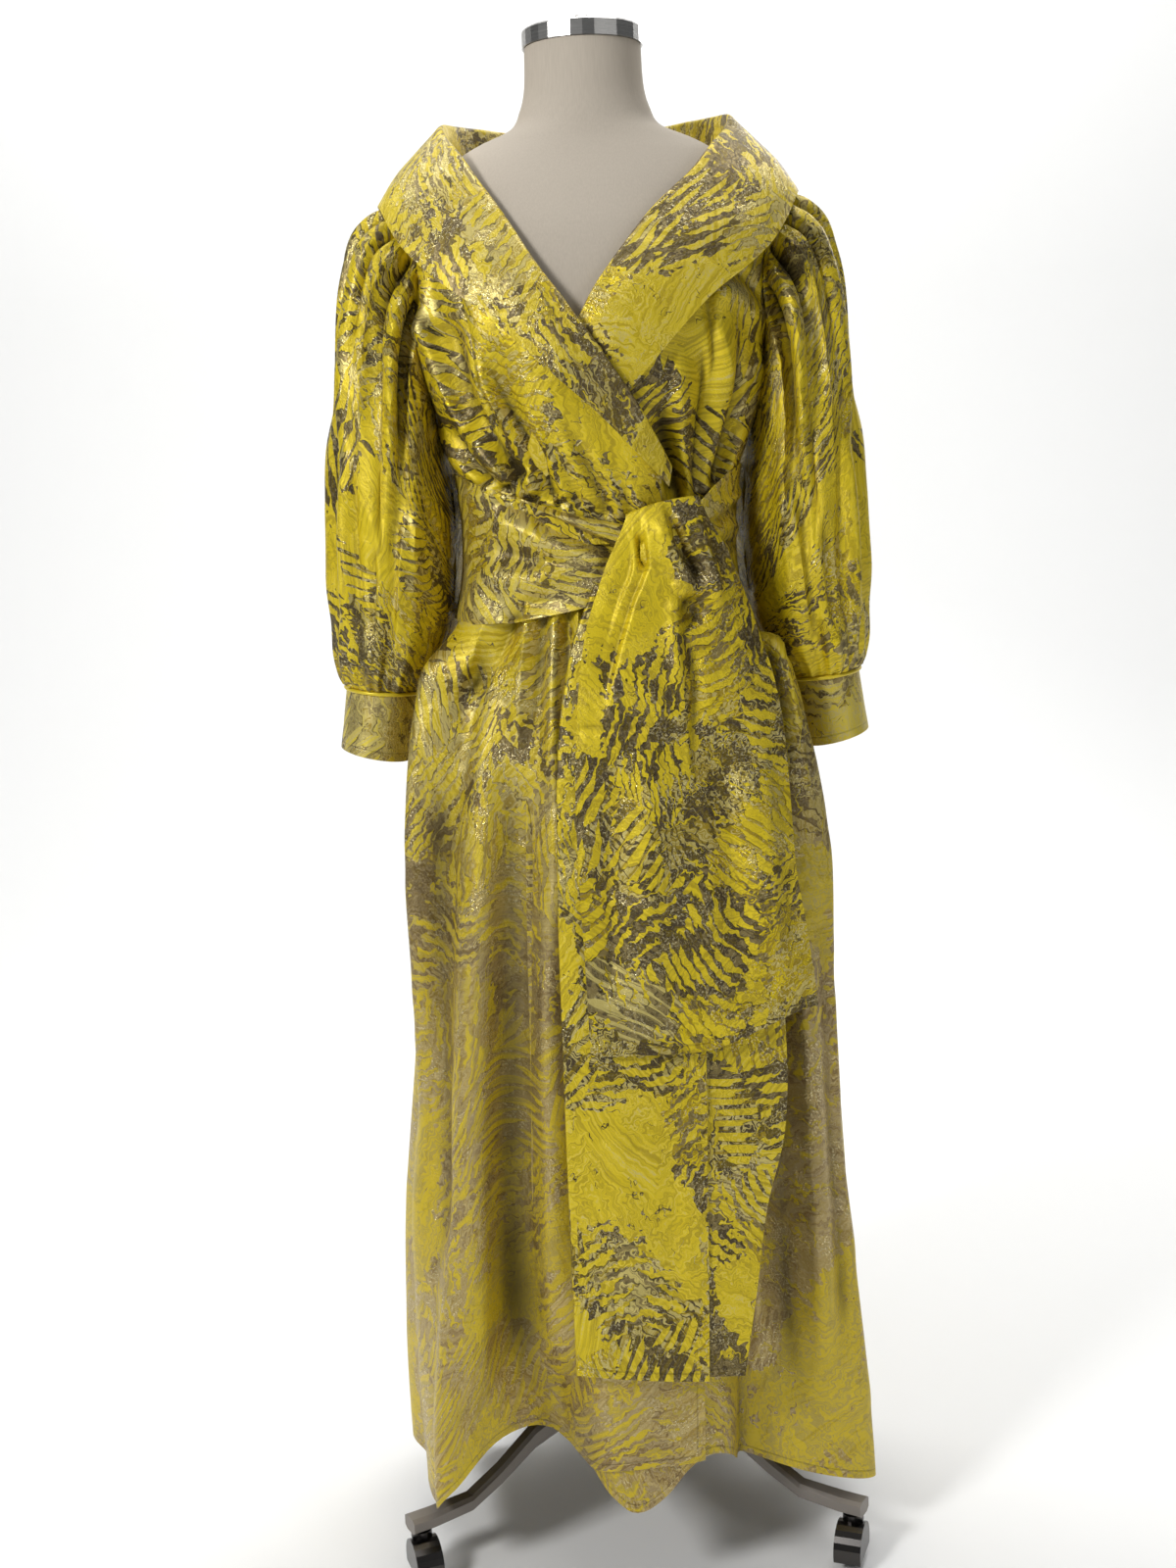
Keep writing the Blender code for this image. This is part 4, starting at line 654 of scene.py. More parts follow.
def ring_point(table, angle, z, out=0.0):
    """A point on a ring at this angle in degrees, moved outward by out."""
    right, left, front, back, square = section(table, z)
    c, s = math.cos(math.radians(angle)), math.sin(math.radians(angle))
    wide = left if c > 0 else right
    deep = front if s > 0 else back
    x = (wide + out) * math.copysign(abs(c) ** (2 / square), c)
    y = -(deep + out) * math.copysign(abs(s) ** (2 / square), s)
    return np.array([x, y, z])


def fold_offset(angle, z):
    """How far the gown's folds stand out from its plain ring."""
    if z >= WAIST_Z:
        waist = smooth_read(BODICE_FOLDS, 1, angle, 360)
        bust = smooth_read(BODICE_FOLDS, 2, angle, 360)
        t = ramp(WAIST_Z, 1.10, z)
        return ((1 - t) * waist * ramp(1.0, 1.06, z) + t * bust * (1 - ramp(1.20, 1.33, z))) * MM
    hip = smooth_read(SKIRT_FOLDS, 1, angle, 360)
    knee = smooth_read(SKIRT_FOLDS, 2, angle, 360)
    hem = smooth_read(SKIRT_FOLDS, 3, angle, 360)
    start = ramp(0.962, 0.898, z)
    upper = hip + (knee - hip) * ramp(0.82, 0.42, z)
    return start * (upper + (hem - knee) * ramp(0.45, 0.08, z)) * MM


def gown_point(angle, z, lift=0.0):
    """A point on the gown's outer surface; lift is the layer's height above the first."""
    plain = ring_point(GOWN_SECTIONS, angle, z)
    away = math.hypot(plain[0], plain[1])
    scale = (away + fold_offset(angle, z) + lift) / away
    return np.array([plain[0] * scale, plain[1] * scale, z])


def angle_at_x(x, z):
    """The front angle at which the gown's plain ring has this x."""
    right, left, _, _, square = section(GOWN_SECTIONS, z)
    share = x / (left if x > 0 else right)
    share = min(max(share, -1.0), 1.0)
    return math.degrees(math.acos(math.copysign(abs(share) ** (square / 2), share)))


def fold_at(x, z):
    """The gown's fold offset at this x on its front."""
    return fold_offset(angle_at_x(x, z), z)


def angle_at_depth(depth, z, side, front=True):
    """The angle at which the ring is this far before or behind the side line."""
    row = section(GOWN_SECTIONS, z)
    deep = row[2] if front else row[3]
    turn = math.degrees(math.asin(min((depth / deep), 1.0) ** (row[4] / 2)))
    turn = turn if front else -turn
    return turn if side > 0 else 180.0 - turn


def grid_normals(grid, closed):
    if closed:
        across = np.roll(grid, -1, axis=1) - np.roll(grid, 1, axis=1)
    else:
        across = np.gradient(grid, axis=1)
    down = np.gradient(grid, axis=0)
    normal = np.cross(across, down)
    length = np.linalg.norm(normal, axis=2, keepdims=True)
    return normal / np.maximum(length, 1e-12)


def armhole_depth(z, reach):
    middle = (UNDERARM_Z + SHOULDER_Z) / 2
    share = (z - middle) / ((SHOULDER_Z - UNDERARM_Z) / 2)
    return max(reach * (1 - share * share), 0.0)


def seam_x(rows, z):
    """x of the bodice's wrap edge at this height, positive on the panel's own side."""
    pairs = [(row[1], row[0]) for row in rows] + [(NECK_EDGE_Z / MM, 131.0)]
    return smooth_read(tuple(sorted(pairs)), 1, z / MM) * MM


def wrap_lift(angle):
    """The upper wrap rises over the under wrap as it crosses the front."""
    return ramp(142, 122, angle) * OVERLAP_LIFT


def no_lift(angle):
    return 0.0


def hem_height(table, angle):
    return smooth_read(table, 1, angle % 360, 360 if table is HEM_OUTER else None) * MM


def skirt_wrap_lift(angle):
    return ramp(140, 122, angle) * SKIRT_OVERLAP_LIFT


def bezier(a, b, c, d, t):
    return a * (1 - t) ** 3 + 3 * b * t * (1 - t) ** 2 + 3 * c * t * t * (1 - t) + d * t ** 3


def drape_point(x, z, lift, wide=DRAPE_WIDE):
    """A point of a loose layer that hangs flatter than the gown, in front of it."""
    right, left, front, _, square = section(GOWN_SECTIONS, z)
    half = (left if x > 0 else right) * wide
    share = min(abs(x) / half, 1.0)
    return np.array([x, -front * (1 - share ** square) ** (1 / square) - lift, z])


def collar_path(seam, roll, edge, size, crown, fall_points=36, roll_points=10):
    """One section: up the stand, over the roll and down the fall to the edge."""
    out = np.array([roll[0], roll[1], 0.0])
    out = out / np.linalg.norm(out)
    low = roll - out * size
    rise = (low - seam) / np.linalg.norm(low - seam)
    fall = (edge - roll) / np.linalg.norm(edge - roll)
    reach = size * 0.66
    path = [seam, seam + (low - seam) * 0.5]
    path += [bezier(low, low + rise * reach, roll - fall * reach, roll, k / roll_points)
             for k in range(roll_points + 1)]
    for k in range(1, fall_points + 1):
        share = k / fall_points
        path.append(roll + (edge - roll) * share + out * crown * math.sin(math.pi * share))
    return path


def collar_grid(side, rows, lift):
    grid = []
    for angle, *places in COLLAR_BACK:
        seam = ring_point(GOWN_SECTIONS, angle, NECK_EDGE_Z + STAND_BASE, -CLOTH)
        roll = np.array([-places[0], places[1], places[2]]) * MM
        edge = np.array([-places[3], places[4], places[5]]) * MM
        path = collar_path(seam, roll, edge, ROLL_SIZE_BACK, COLLAR_CROWN * 0.6)
        grid.append([p * np.array([-side, 1, 1]) for p in path])
    for place, row in enumerate(rows):
        own = [row[0] * side * MM, row[2] * side * MM, row[4] * side * MM]
        turn = angle_at_x(own[0], row[1] * MM)
        seam = gown_point(turn, row[1] * MM, lift(turn) - CLOTH)
        follow = ramp(3, 6, place)
        wide = DRAPE_WIDE + (1 - DRAPE_WIDE) * follow
        roll_wide = wide + SHOULDER_ROLL_WIDE * (1 - ramp(0, 1, place))
        roll_lift = row[6] * MM + fold_at(own[1], row[3] * MM) * follow
        roll = drape_point(own[1], row[3] * MM, roll_lift, roll_wide)
        edge_lift = row[7] * MM + fold_at(own[2], row[5] * MM) * follow
        edge = drape_point(own[2], row[5] * MM, edge_lift, wide)
        share = ramp(-1, 2, place)
        size = ROLL_SIZE_BACK + (ROLL_SIZE_FRONT - ROLL_SIZE_BACK) * share
        width = np.linalg.norm(edge - roll)
        crown = COLLAR_CROWN * min(width / 0.08, 1.0) ** 2 * (1 - 0.45 * ramp(4, 7, place))
        grid.append(collar_path(seam, roll, edge, size, crown))
    return np.array(grid)


def sleeve_ring(row, side, turn_count, gather=0.0):
    out_x, out_z, in_x, in_z, mid_y, half_y = row[:6]
    shift = RIGHT_SLEEVE_SHIFT * ramp(1300, 1100, out_z) if side < 0 else 0
    outer = np.array([out_x + shift, 0.0, out_z])
    inner = np.array([in_x + shift * 0.4, 0.0, in_z])
    middle = (outer + inner) / 2 + np.array([0.0, mid_y, 0.0])
    half = (outer - inner) / 2
    size = np.linalg.norm(half)
    tuck = SLEEVE_TUCK * ramp(1145, 1090, in_z) * ramp(895, 945, in_z)
    ring = []
    for k in range(turn_count):
        turn = 2 * math.pi * k / turn_count
        # The gathers fade on the side that faces the body
        fade = 1 - ramp(100, 160, math.degrees(min(turn, 2 * math.pi - turn)))
        wave = gather * fade * math.cos(SLEEVE_GATHERS * turn)
        point = middle + half * math.cos(turn) * (1 + wave / size)
        inward = tuck * max(math.cos(turn - math.radians(SLEEVE_TUCK_TURN)), 0.0) ** 6
        point = point + np.array([-inward, -half_y * math.sin(turn) * (1 + wave / half_y), 0.0])
        ring.append(point * np.array([side, 1, 1]) * MM)
    return ring


def armhole_ring(side, turn_count, out, grow):
    """Points along the armhole, moved off the bodice by out and enlarged by grow."""
    middle = (UNDERARM_Z + SHOULDER_Z) / 2
    half = (SHOULDER_Z - UNDERARM_Z) / 2
    ring = []
    for k in range(turn_count):
        turn = 2 * math.pi * k / turn_count
        z = middle + (half + grow) * math.cos(turn)
        front = math.sin(turn) > 0
        reach = (ARMHOLE_FRONT if front else ARMHOLE_BACK) + grow
        angle = angle_at_depth(reach * math.sin(turn) ** 2, z, side, front)
        ring.append(surface_out(angle, z, out))
    return ring


def surface_out(angle, z, out):
    """A point on the bodice moved straight out from its surface."""
    here = gown_point(angle, z)
    along = gown_point(angle + 0.5, z) - gown_point(angle - 0.5, z)
    up = gown_point(angle, z + 0.002) - gown_point(angle, z - 0.002)
    normal = np.cross(along, up)
    normal = normal / np.linalg.norm(normal)
    if normal[0] * here[0] + normal[1] * here[1] < 0:
        normal = -normal
    return here + normal * out


def sash_lift(angle):
    angle = angle % 360
    front = ramp(172, 132, angle) if angle > 90 else ramp(4, 40, angle)
    return SASH_SIDE_LIFT + (SASH_LIFT - SASH_SIDE_LIFT) * front


def tail_surface(table, z, share):
    """A tail's outer point: share runs from its left to its right edge."""
    left, right = (smooth_read(table, c, z / MM) * MM for c in (1, 2))
    lift_left, lift_mid, lift_right = (smooth_read(table, c, z / MM) * MM for c in (3, 4, 5))
    x = left + (right - left) * share
    lift = (lift_left * (1 - share) * (1 - 2 * share) + lift_mid * 4 * share * (1 - share)
            + lift_right * share * (2 * share - 1))
    return drape_point(x, z, lift)


FRONTS = ((-1, "right", COLLAR_RIGHT, wrap_lift), (1, "left", COLLAR_LEFT, no_lift))


# Grids of points

def spline(values, count, closed=False):
    """The rows of an array, resampled to this count on a smooth curve through them."""
    values = np.asarray(values, float)
    n = len(values)
    if closed:
        padded = np.concatenate([values[-1:], values, values[:2]])
    else:
        before, after = 2 * values[:1] - values[1:2], 2 * values[-1:] - values[-2:-1]
        padded = np.concatenate([before, values, after, after])
    at = np.linspace(0, n if closed else n - 1, count, endpoint=not closed)
    index = np.minimum(at.astype(int), n - 1)
    t = (at - index).reshape((-1,) + (1,) * (values.ndim - 1))
    a, b, c, d = (padded[index + k] for k in range(4))
    return 0.5 * (2 * b + (c - a) * t + (2 * a - 5 * b + 4 * c - d) * t ** 2
                  + (3 * b - a - 3 * c + d) * t ** 3)


def fine(count):
    return count


def counts(name):
    return [fine(count) for count in GRID[name]]


def soft(share):
    share = np.clip(share, 0, 1)
    return share * share * (3 - 2 * share)


def crease_height(across, down, rows):
    """The height in metres that these creases give at each place, both coordinates in millimetres."""
    total = np.zeros(across.shape)
    for height, left, right, fade_in, fade_out, points in rows:
        line = spline(points, 6 * (len(points) - 1) + 1)
        best = np.full(across.shape, 1e9)
        side = np.zeros(across.shape)
        along = np.zeros(across.shape)
        for k in range(len(line) - 1):
            start, step = line[k], line[k + 1] - line[k]
            length = np.hypot(*step)
            rx, ry = across - start[0], down - start[1]
            t = np.clip((rx * step[0] + ry * step[1]) / length ** 2, 0, 1)
            gap = np.hypot(rx - step[0] * t, ry - step[1] * t)
            nearer = gap < best
            best = np.where(nearer, gap, best)
            side = np.where(nearer, step[0] * ry - step[1] * rx, side)
            along = np.where(nearer, (k + t) / (len(line) - 1), along)
        reach = np.where(side > 0, left, right)
        fade = soft(along / fade_in) if fade_in else 1.0
        fade = fade * (soft((1 - along) / fade_out) if fade_out else 1.0)
        total += height * MM * fade * np.exp(-(best / reach) ** 2)
    return total


def creases_across(grid, rows):
    """The height of creases that are given in x and z, at each point of a grid."""
    return crease_height(grid[..., 0] / MM, grid[..., 2] / MM, rows)


def creases_round(turns, down, rows, degree):
    """The height of creases that are given in degrees and down; a degree counts as this many millimetres."""
    rows = [row[:5] + (tuple((turn * degree, z) for turn, z in row[5]),) for row in rows]
    return crease_height(np.asarray(turns) * degree, down / MM, rows)


def crumple(name, u, v):
    """The cloth's slight unevenness, as a few long waves that never line up."""
    height, size = CRUMPLE[name]
    total = np.sin(u / size * 6.1 + 1.3 * np.sin(v / size * 2.9))
    total += 0.8 * np.sin(v / size * 4.3 + 1.1 * np.sin(u / size * 3.7 + 0.6) + 1.9)
    total += 0.5 * np.sin((u + v) / size * 9.7 + np.sin((u - v) / size * 5.2))
    return total * height / 2.3


def arc_lengths(grid, closed):
    """How far each point lies along its row and down its column, in metres."""
    wide = np.concatenate([grid, grid[:, :1]], axis=1) if closed else grid
    steps = np.linalg.norm(np.diff(wide, axis=1), axis=2)
    u = np.concatenate([np.zeros((len(wide), 1)), np.cumsum(steps, axis=1)], axis=1)
    middle = u.shape[1] // 2
    u = u - u[:, middle:middle + 1]
    line = wide[:, middle]
    v = np.concatenate([[0], np.cumsum(np.linalg.norm(np.diff(line, axis=0), axis=1))])
    return u, np.repeat(v[:, None], u.shape[1], axis=1)


def edge_fade(grid, reach, ends=True, sides=True):
    """One inside the piece, falling to nothing at its ends and sides."""
    u, v = arc_lengths(grid, False)
    fade = np.ones(u.shape)
    if ends:
        fade = fade * soft((v - v[:1]) / reach) * soft((v[-1:] - v) / reach)
    if sides:
        fade = fade * soft((u - u[:, :1]) / reach) * soft((u[:, -1:] - u) / reach)
    return fade


def outward(grid, closed, toward):
    """The normals that point away from a place, and whether they had to be turned."""
    normal = grid_normals(grid, closed)
    if np.sum((grid - np.asarray(toward)) * normal) < 0:
        return -normal, True
    return normal, False


def folds_depth(grid, normal, closed, reach, deepest):
    """How deep in a crease each point lies, as its share of painted shade: a half on flat cloth, one in a
    trough, nothing on a ridge.
    """
    smooth = grid
    for axis in (0, 1):
        count = grid.shape[axis]
        step = np.median(np.linalg.norm(np.diff(grid, axis=axis), axis=2))
        near = min(max(int(round(reach / step)), 1), count - 1)
        weights = np.exp(-(np.arange(-near, near + 1) / (0.55 * near)) ** 2)
        pad = [(0, 0)] * 3
        pad[axis] = (near, near)
        wide = np.pad(smooth, pad, mode="wrap" if closed and axis == 1 else "edge")
        smooth = sum(weight * np.take(wide, np.arange(count) + k, axis=axis)
                     for k, weight in enumerate(weights))
        smooth = smooth / weights.sum()
    return np.clip(0.5 + np.sum((smooth - grid) * normal, axis=2) / (2 * deepest), 0, 1)


# Meshes

def patches(rows, cols):
    """Row and column of the four corners of each patch, for this many patches down and across."""
    r, c = (part.ravel() for part in np.meshgrid(np.arange(rows), np.arange(cols), indexing="ij"))
    corners = (r, c), (r, c + 1), (r + 1, c + 1), (r + 1, c)
    return np.stack([np.stack(corner, axis=1) for corner in corners], axis=1)


def wall(rows, cols, closed):
    """Row, column and side of each face's corners: outer side, inner side, then the open edges."""
    outer = patches(rows - 1, cols if closed else cols - 1)
    ring = patches(1, cols if closed else cols - 1)
    edges = [ring[:, [1, 0]], ring[:, [0, 1]] + (rows - 1, 0)]
    if not closed:
        ring = patches(rows - 1, 1)
        edges += [ring[:, [0, 3]], ring[:, [3, 0]] + (0, cols - 1)]
    parts = [(outer, (0, 0, 0, 0)), (outer[:, TURNED], (1, 1, 1, 1))]
    parts += [(edge[:, [0, 1, 1, 0]], (0, 0, 1, 1)) for edge in edges]
    corners = np.concatenate([corner for corner, _ in parts])
    side = np.concatenate([np.broadcast_to(side, corner.shape[:2]) for corner, side in parts])
    return corners[..., 0], corners[..., 1], side


def mesh_from(name, points, faces, uv=None):
    mesh = bpy.data.meshes.new(name)
    count = len(faces)
    mesh.vertices.add(len(points))
    mesh.vertices.foreach_set("co", (points + AXIS).astype(np.float32).ravel())
    mesh.loops.add(count * 4)
    mesh.loops.foreach_set("vertex_index", faces.astype(np.int32).ravel())
    mesh.polygons.add(count)
    mesh.polygons.foreach_set("loop_start", np.arange(0, count * 4, 4, dtype=np.int32))
    if uv is not None:
        mesh.uv_layers.new(name="cloth").data.foreach_set("uv", uv.astype(np.float32).ravel())
    mesh.update(calc_edges=True)
    mesh.shade_smooth()
    mesh.set_sharp_from_angle(angle=math.radians(SHARP_ANGLE))
    made = bpy.data.objects.new(name, mesh)
    bpy.context.collection.objects.link(made)
    return made


def finish_piece(made, look):
    """Gives a piece its material and the body it rides on, and hides the solid it stands for."""
    made.data.materials.append(LOOKS[look])
    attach(made, "gown_on_form")
    if made.name.endswith("_look"):
        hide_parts(made.name[:-len("_look")])
    return made


def shell(name, grid, inside, height, closed=False, hems=(), fold=FOLD_SHADE_SIZE, painted_body_shade=0.0, low=0.0,
          piped=None):
    """A cloth piece: its outer side on the grid, lifted by its creases, its inner side one wall behind.

    inside is a place behind the cloth, fold the reach and depth of the painted shade in its folds,
    hidden the painted shade that it lies in, low how far its tone has turned to the lower skirt's,
    and piped the ring that its corded seam follows.
    """
    width, length, area, held, under, cut_from, tone = PIECES[name]
    u, v = arc_lengths(grid, closed)
    normal, flipped = outward(grid, closed, inside)
    grid = grid + normal * height[..., None]
    normal = outward(grid, closed, inside)[0]
    rows, cols, _ = grid.shape
    points = np.concatenate([grid.reshape(-1, 3), (grid - normal * CLOTH).reshape(-1, 3)])
    row, col, side = wall(rows, cols, closed)
    faces = (side * rows + row) * cols + col % cols
    uv = np.stack([u[row, col] + cut_from[0], cut_from[1] - v[row, col]], axis=2)
    if flipped:
        faces, uv = faces[:, ::-1], uv[:, ::-1]
    made = mesh_from(f"{name}_look", points, faces, uv)
    u, v = u[:, :cols], v[:, :cols]
    gaps = {"bottom": v[-1:] - v, "right": u[:, -1:] - u}
    fields = {"hem": np.min([np.full((rows, cols), NO_HEM)] + [gaps[word] for word in hems], axis=0)}
    for label, own, change in zip(("light", "dark", "tan"), tone, LOW_TONE):
        fields[label] = np.broadcast_to(own + change * low, (rows, cols))
    # The share of painted shade: deep in the creases, and where the body's shade is painted on
    fields["fold"] = np.maximum(folds_depth(grid, normal, closed, *fold), painted_body_shade)
    for label, field in fields.items():
        layer = made.data.attributes.new(label, "FLOAT", "POINT")
        layer.data.foreach_set("value", np.tile(field.ravel(), 2).astype(np.float32))
    finish_piece(made, "brocade")
    trim = () if piped is None else (piping(name, piped),)


def piping(name, ring):
    """The corded seam at the top of a cuff."""
    away = ring - ring.mean(axis=0)
    away = away / np.linalg.norm(away, axis=1, keepdims=True)
    along = np.roll(ring, -1, axis=0) - np.roll(ring, 1, axis=0)
    along = along / np.linalg.norm(along, axis=1, keepdims=True)
    up = np.cross(away, along)
    grid = [ring + away * PIPING_OUT + PIPING_RADIUS * (away * math.cos(t) + up * math.sin(t))
            for t in np.linspace(0, 2 * math.pi, PIPING_SIDES, endpoint=False)]
    grid = np.array(grid).transpose(1, 0, 2)
    rows, cols, _ = grid.shape
    at = patches(rows, cols)[:, TURNED]
    faces = at[..., 0] % rows * cols + at[..., 1] % cols
    made = mesh_from(f"{name}_piping", grid.reshape(-1, 3), faces)
    return finish_piece(made, "piping")


# The gown

def bodice():
    rows, cols = counts("bodice_front")
    for (side, word, edge_rows, lift), creases in zip(FRONTS, (BODICE_RIGHT_CREASES, BODICE_LEFT_CREASES)):
        grid = []
        for z in np.linspace(WAIST_Z + SEAM, edge_rows[0][1] * MM, rows):
            start = angle_at_depth(armhole_depth(z, ARMHOLE_FRONT), z, side) + SIDE_SEAM_TURN * side
            edge = seam_x(edge_rows, max(z, edge_rows[-1][1] * MM)) + EDGE_CLEARANCE
            end = angle_at_x(edge * side, z)
            grid.append([gown_point(a, z, lift(a)) for a in np.linspace(start, end, cols)])
        grid = np.array(grid)
        height = creases_across(grid, creases) * edge_fade(grid, FADE["bodice_front"])
        wave = crumple("bodice_front", grid[..., 0], grid[..., 2])
        height = height + wave * edge_fade(grid, FADE["bodice_front_crumple"])
        shell(f"bodice_front_{word}", grid, INSIDE["bodice"], height)
    rows, cols = counts("bodice_back")
    grid, turns = [], []
    for z in np.linspace(WAIST_Z + SEAM, NECK_EDGE_Z, rows):
        start = angle_at_depth(armhole_depth(z, ARMHOLE_BACK), z, -1, False)
        turns.append(np.linspace(start, 540.0 - start, cols))
        grid.append([gown_point(a, z) for a in turns[-1]])
    grid = np.array(grid)
    height = creases_round(turns, grid[..., 2], BODICE_BACK_CREASES, BODICE_DEGREE)
    height = height + crumple("bodice_back", grid[..., 0], grid[..., 2])
    shell("bodice_back", grid, INSIDE["bodice"], height * edge_fade(grid, FADE["bodice_back"]))


def skirt():
    gap = SKIRT_SEAM_TURN
    panels = (
        ("skirt_back", 180 + gap, 360 - gap, 360 - gap, HEM_OUTER, no_lift, ()),
        ("skirt_front_right", 180 - gap, WRAP_EDGE_WAIST, WRAP_EDGE_HEM, HEM_OUTER, skirt_wrap_lift,
         ("right",)),
        ("skirt_front_left", gap, UNDER_WRAP_EDGE, UNDER_WRAP_EDGE, HEM_UNDER, no_lift, ("right",)),
    )
    rows, cols = counts("skirt")
    for name, start, end, end_at_hem, hem, lift, edges in panels:
        grid, turns = [], []
        for share in np.linspace(0, 1, rows):
            turns.append(np.linspace(start, end + (end_at_hem - end) * share, cols))
            grid.append([gown_point(a, WAIST_Z + (hem_height(hem, a) - WAIST_Z) * share, lift(a))
                         for a in turns[-1]])
        grid = np.array(grid)
        if name == "skirt_back":
            height = creases_round(turns, grid[..., 2], SKIRT_BACK_CREASES, SKIRT_DEGREE)
        else:
            height = creases_across(grid, SKIRT_FRONT_CREASES)
        height = height + crumple("skirt", np.asarray(turns) * SKIRT_CRUMPLE_DEGREE, grid[..., 2])
        # Down the skirt the cloth turns from dark strokes to gold on tan
        low = soft((LOW_TONE_FROM - grid[..., 2]) / LOW_TONE_OVER)
        shell(name, grid, INSIDE["skirt"], height * edge_fade(grid, FADE["skirt"], ends=False),
              hems=edges + ("bottom",), fold=SKIRT_FOLD_SHADE_SIZE, low=low)


def collars():
    for side, word, rows, lift in FRONTS:
        grid = spline(collar_grid(side, rows, lift), *counts("collar"))
        # On the stand, the side that shows faces the neck
        first, normal = grid[0, 0], grid_normals(grid, False)[0, 0]
        away = -1.0 if np.dot(normal, first * (1, 1, 0)) > 0 else 1.0
        height = crumple("collar", *arc_lengths(grid, False)) * edge_fade(grid, FADE["collar"])
        shell(f"collar_{word}", grid, first - normal * away * 1000.0, height)


def sleeves():
    rows, steps = counts("sleeve")
    turn = (np.arange(steps) - steps // 2) * 360.0 / steps
    turn = np.repeat(turn[None], rows, axis=0)
    for side, word in ((-1, "right"), (1, "left")):
        rings = [armhole_ring(side, steps, SLEEVE_SEAM_OUT, SLEEVE_SEAM_GROW)]
        rings += [sleeve_ring(row, side, steps, row[6]) for row in SLEEVE_RINGS]
        grid = np.roll(spline(rings, rows), steps // 2, axis=1)
        down = arc_lengths(grid, True)[1][:, :steps]
        left = down[-1:] - down
        height = creases_round(turn, down, SLEEVE_CREASES, SLEEVE_DEGREE)
        for place, tall in CUFF_GATHERS:
            apart = np.abs((turn - place + 180) % 360 - 180) / CUFF_GATHER_WIDE
            rise = soft(1 - left / CUFF_GATHER_LONG) * soft(left / CUFF_GATHER_START)
            height = height + tall * MM * rise * np.exp(-apart ** 2)
        # The side that faces the body is smooth, and both seams are
        height = height * (1 - soft((np.abs(turn) - SLEEVE_SMOOTH_FROM) / SLEEVE_SMOOTH_OVER))
        height = height + crumple("sleeve", turn * SLEEVE_DEGREE * MM, down)
        height = height * soft(down / FADE["armhole"]) * soft(left / FADE["cuff_seam"])
        # Behind the waist the body's shade is painted on a sleeve
        top, top_over = BODY_SHADE_TOP
        low, low_over = BODY_SHADE_LOW
        shade = BODY_SHADE * soft((top - grid[..., 2]) / top_over) * soft((grid[..., 2] - low) / low_over)
        shade = shade * soft((-turn - BODY_SHADE_FROM) / BODY_SHADE_OVER)
        shade = shade * soft((180 + turn) / BODY_SHADE_OVER)
        shell(f"sleeve_{word}", grid, np.mean(grid[rows // 2], axis=0), height, closed=True,
              painted_body_shade=shade)
        rings = np.array([sleeve_ring(row, side, steps) for row in CUFF_RINGS])
        grid = np.roll(spline(rings, *counts("cuff")), steps // 2, axis=1)
        u, v = arc_lengths(grid, True)
        height = crumple("cuff", u[:, :steps], v[:, :steps])
        shell(f"cuff_{word}", grid, grid.mean(axis=(0, 1)), height, closed=True, hems=("bottom",),
              piped=rings[0])


def band_grid(name, table, lift):
    """A sash band's grid, bulging a little between its edges, and the angle of each of its points."""
    rows, cols = counts(name)
    turns = np.linspace(table[0][0], table[-1][0], cols)
    grid = []
    for share in np.linspace(0, 1, rows):
        row = []
        for angle in turns:
            top = smooth_read(table, 1, angle) * MM
            bottom = smooth_read(table, 2, angle) * MM
            z = top + (bottom - top) * share
            plain = ring_point(GOWN_SECTIONS, angle, z)
            away = math.hypot(plain[0], plain[1])
            out = lift(angle) + BAND_CROWN * math.sin(math.pi * share)
            row.append(plain * (1, 1, 0) * (away + out) / away + np.array([0, 0, z]))
        grid.append(row)
    return np.array(grid), np.array([turns] * rows)


def sash():
    grid, turns = band_grid("sash_front", SASH_FRONT, sash_lift)
    height = creases_across(grid, SASH_FRONT_CREASES) * edge_fade(grid, FADE["sash_front"], sides=False)
    shell("sash_front", grid, INSIDE["sash"], height)
    grid, turns = band_grid("sash_back", SASH_BACK, lambda angle: SASH_SIDE_LIFT)
    height = creases_round(turns, grid[..., 2], SASH_BACK_CREASES, SASH_DEGREE)
    shell("sash_back", grid, INSIDE["sash"], height * edge_fade(grid, FADE["sash_back"]))
    grid, turns = band_grid("sash_left", SASH_LEFT, sash_lift)
    height = creases_round(turns, grid[..., 2], SASH_LEFT_CREASES, SASH_DEGREE)
    shell("sash_left", grid, INSIDE["sash"], height)


def knot():
    rows, cols = counts("knot")
    turn = np.linspace(0, 2 * math.pi, cols, endpoint=False)
    rings = []
    for share, half_z, half_y in KNOT_RINGS:
        x = KNOT_START[0] + KNOT_RUN[0] * share
        z = KNOT_START[1] + KNOT_RUN[1] * share
        y = ring_point(GOWN_SECTIONS, angle_at_x(x, z), z)[1] - KNOT_LIFT
        rings.append(np.stack([np.full(cols, x), y + half_y * MM * np.cos(turn),
                               z + half_z * MM * np.sin(turn)], axis=1))
    grid = spline(np.array(rings), rows)
    along = np.linspace(0, 1, rows)[:, None]
    height = KNOT_CREASE * np.cos(KNOT_CREASES * turn[None] + KNOT_CREASES * along) * np.sin(math.pi * along)
    shell("sash_knot", grid, grid.mean(axis=(0, 1)), height, closed=True)


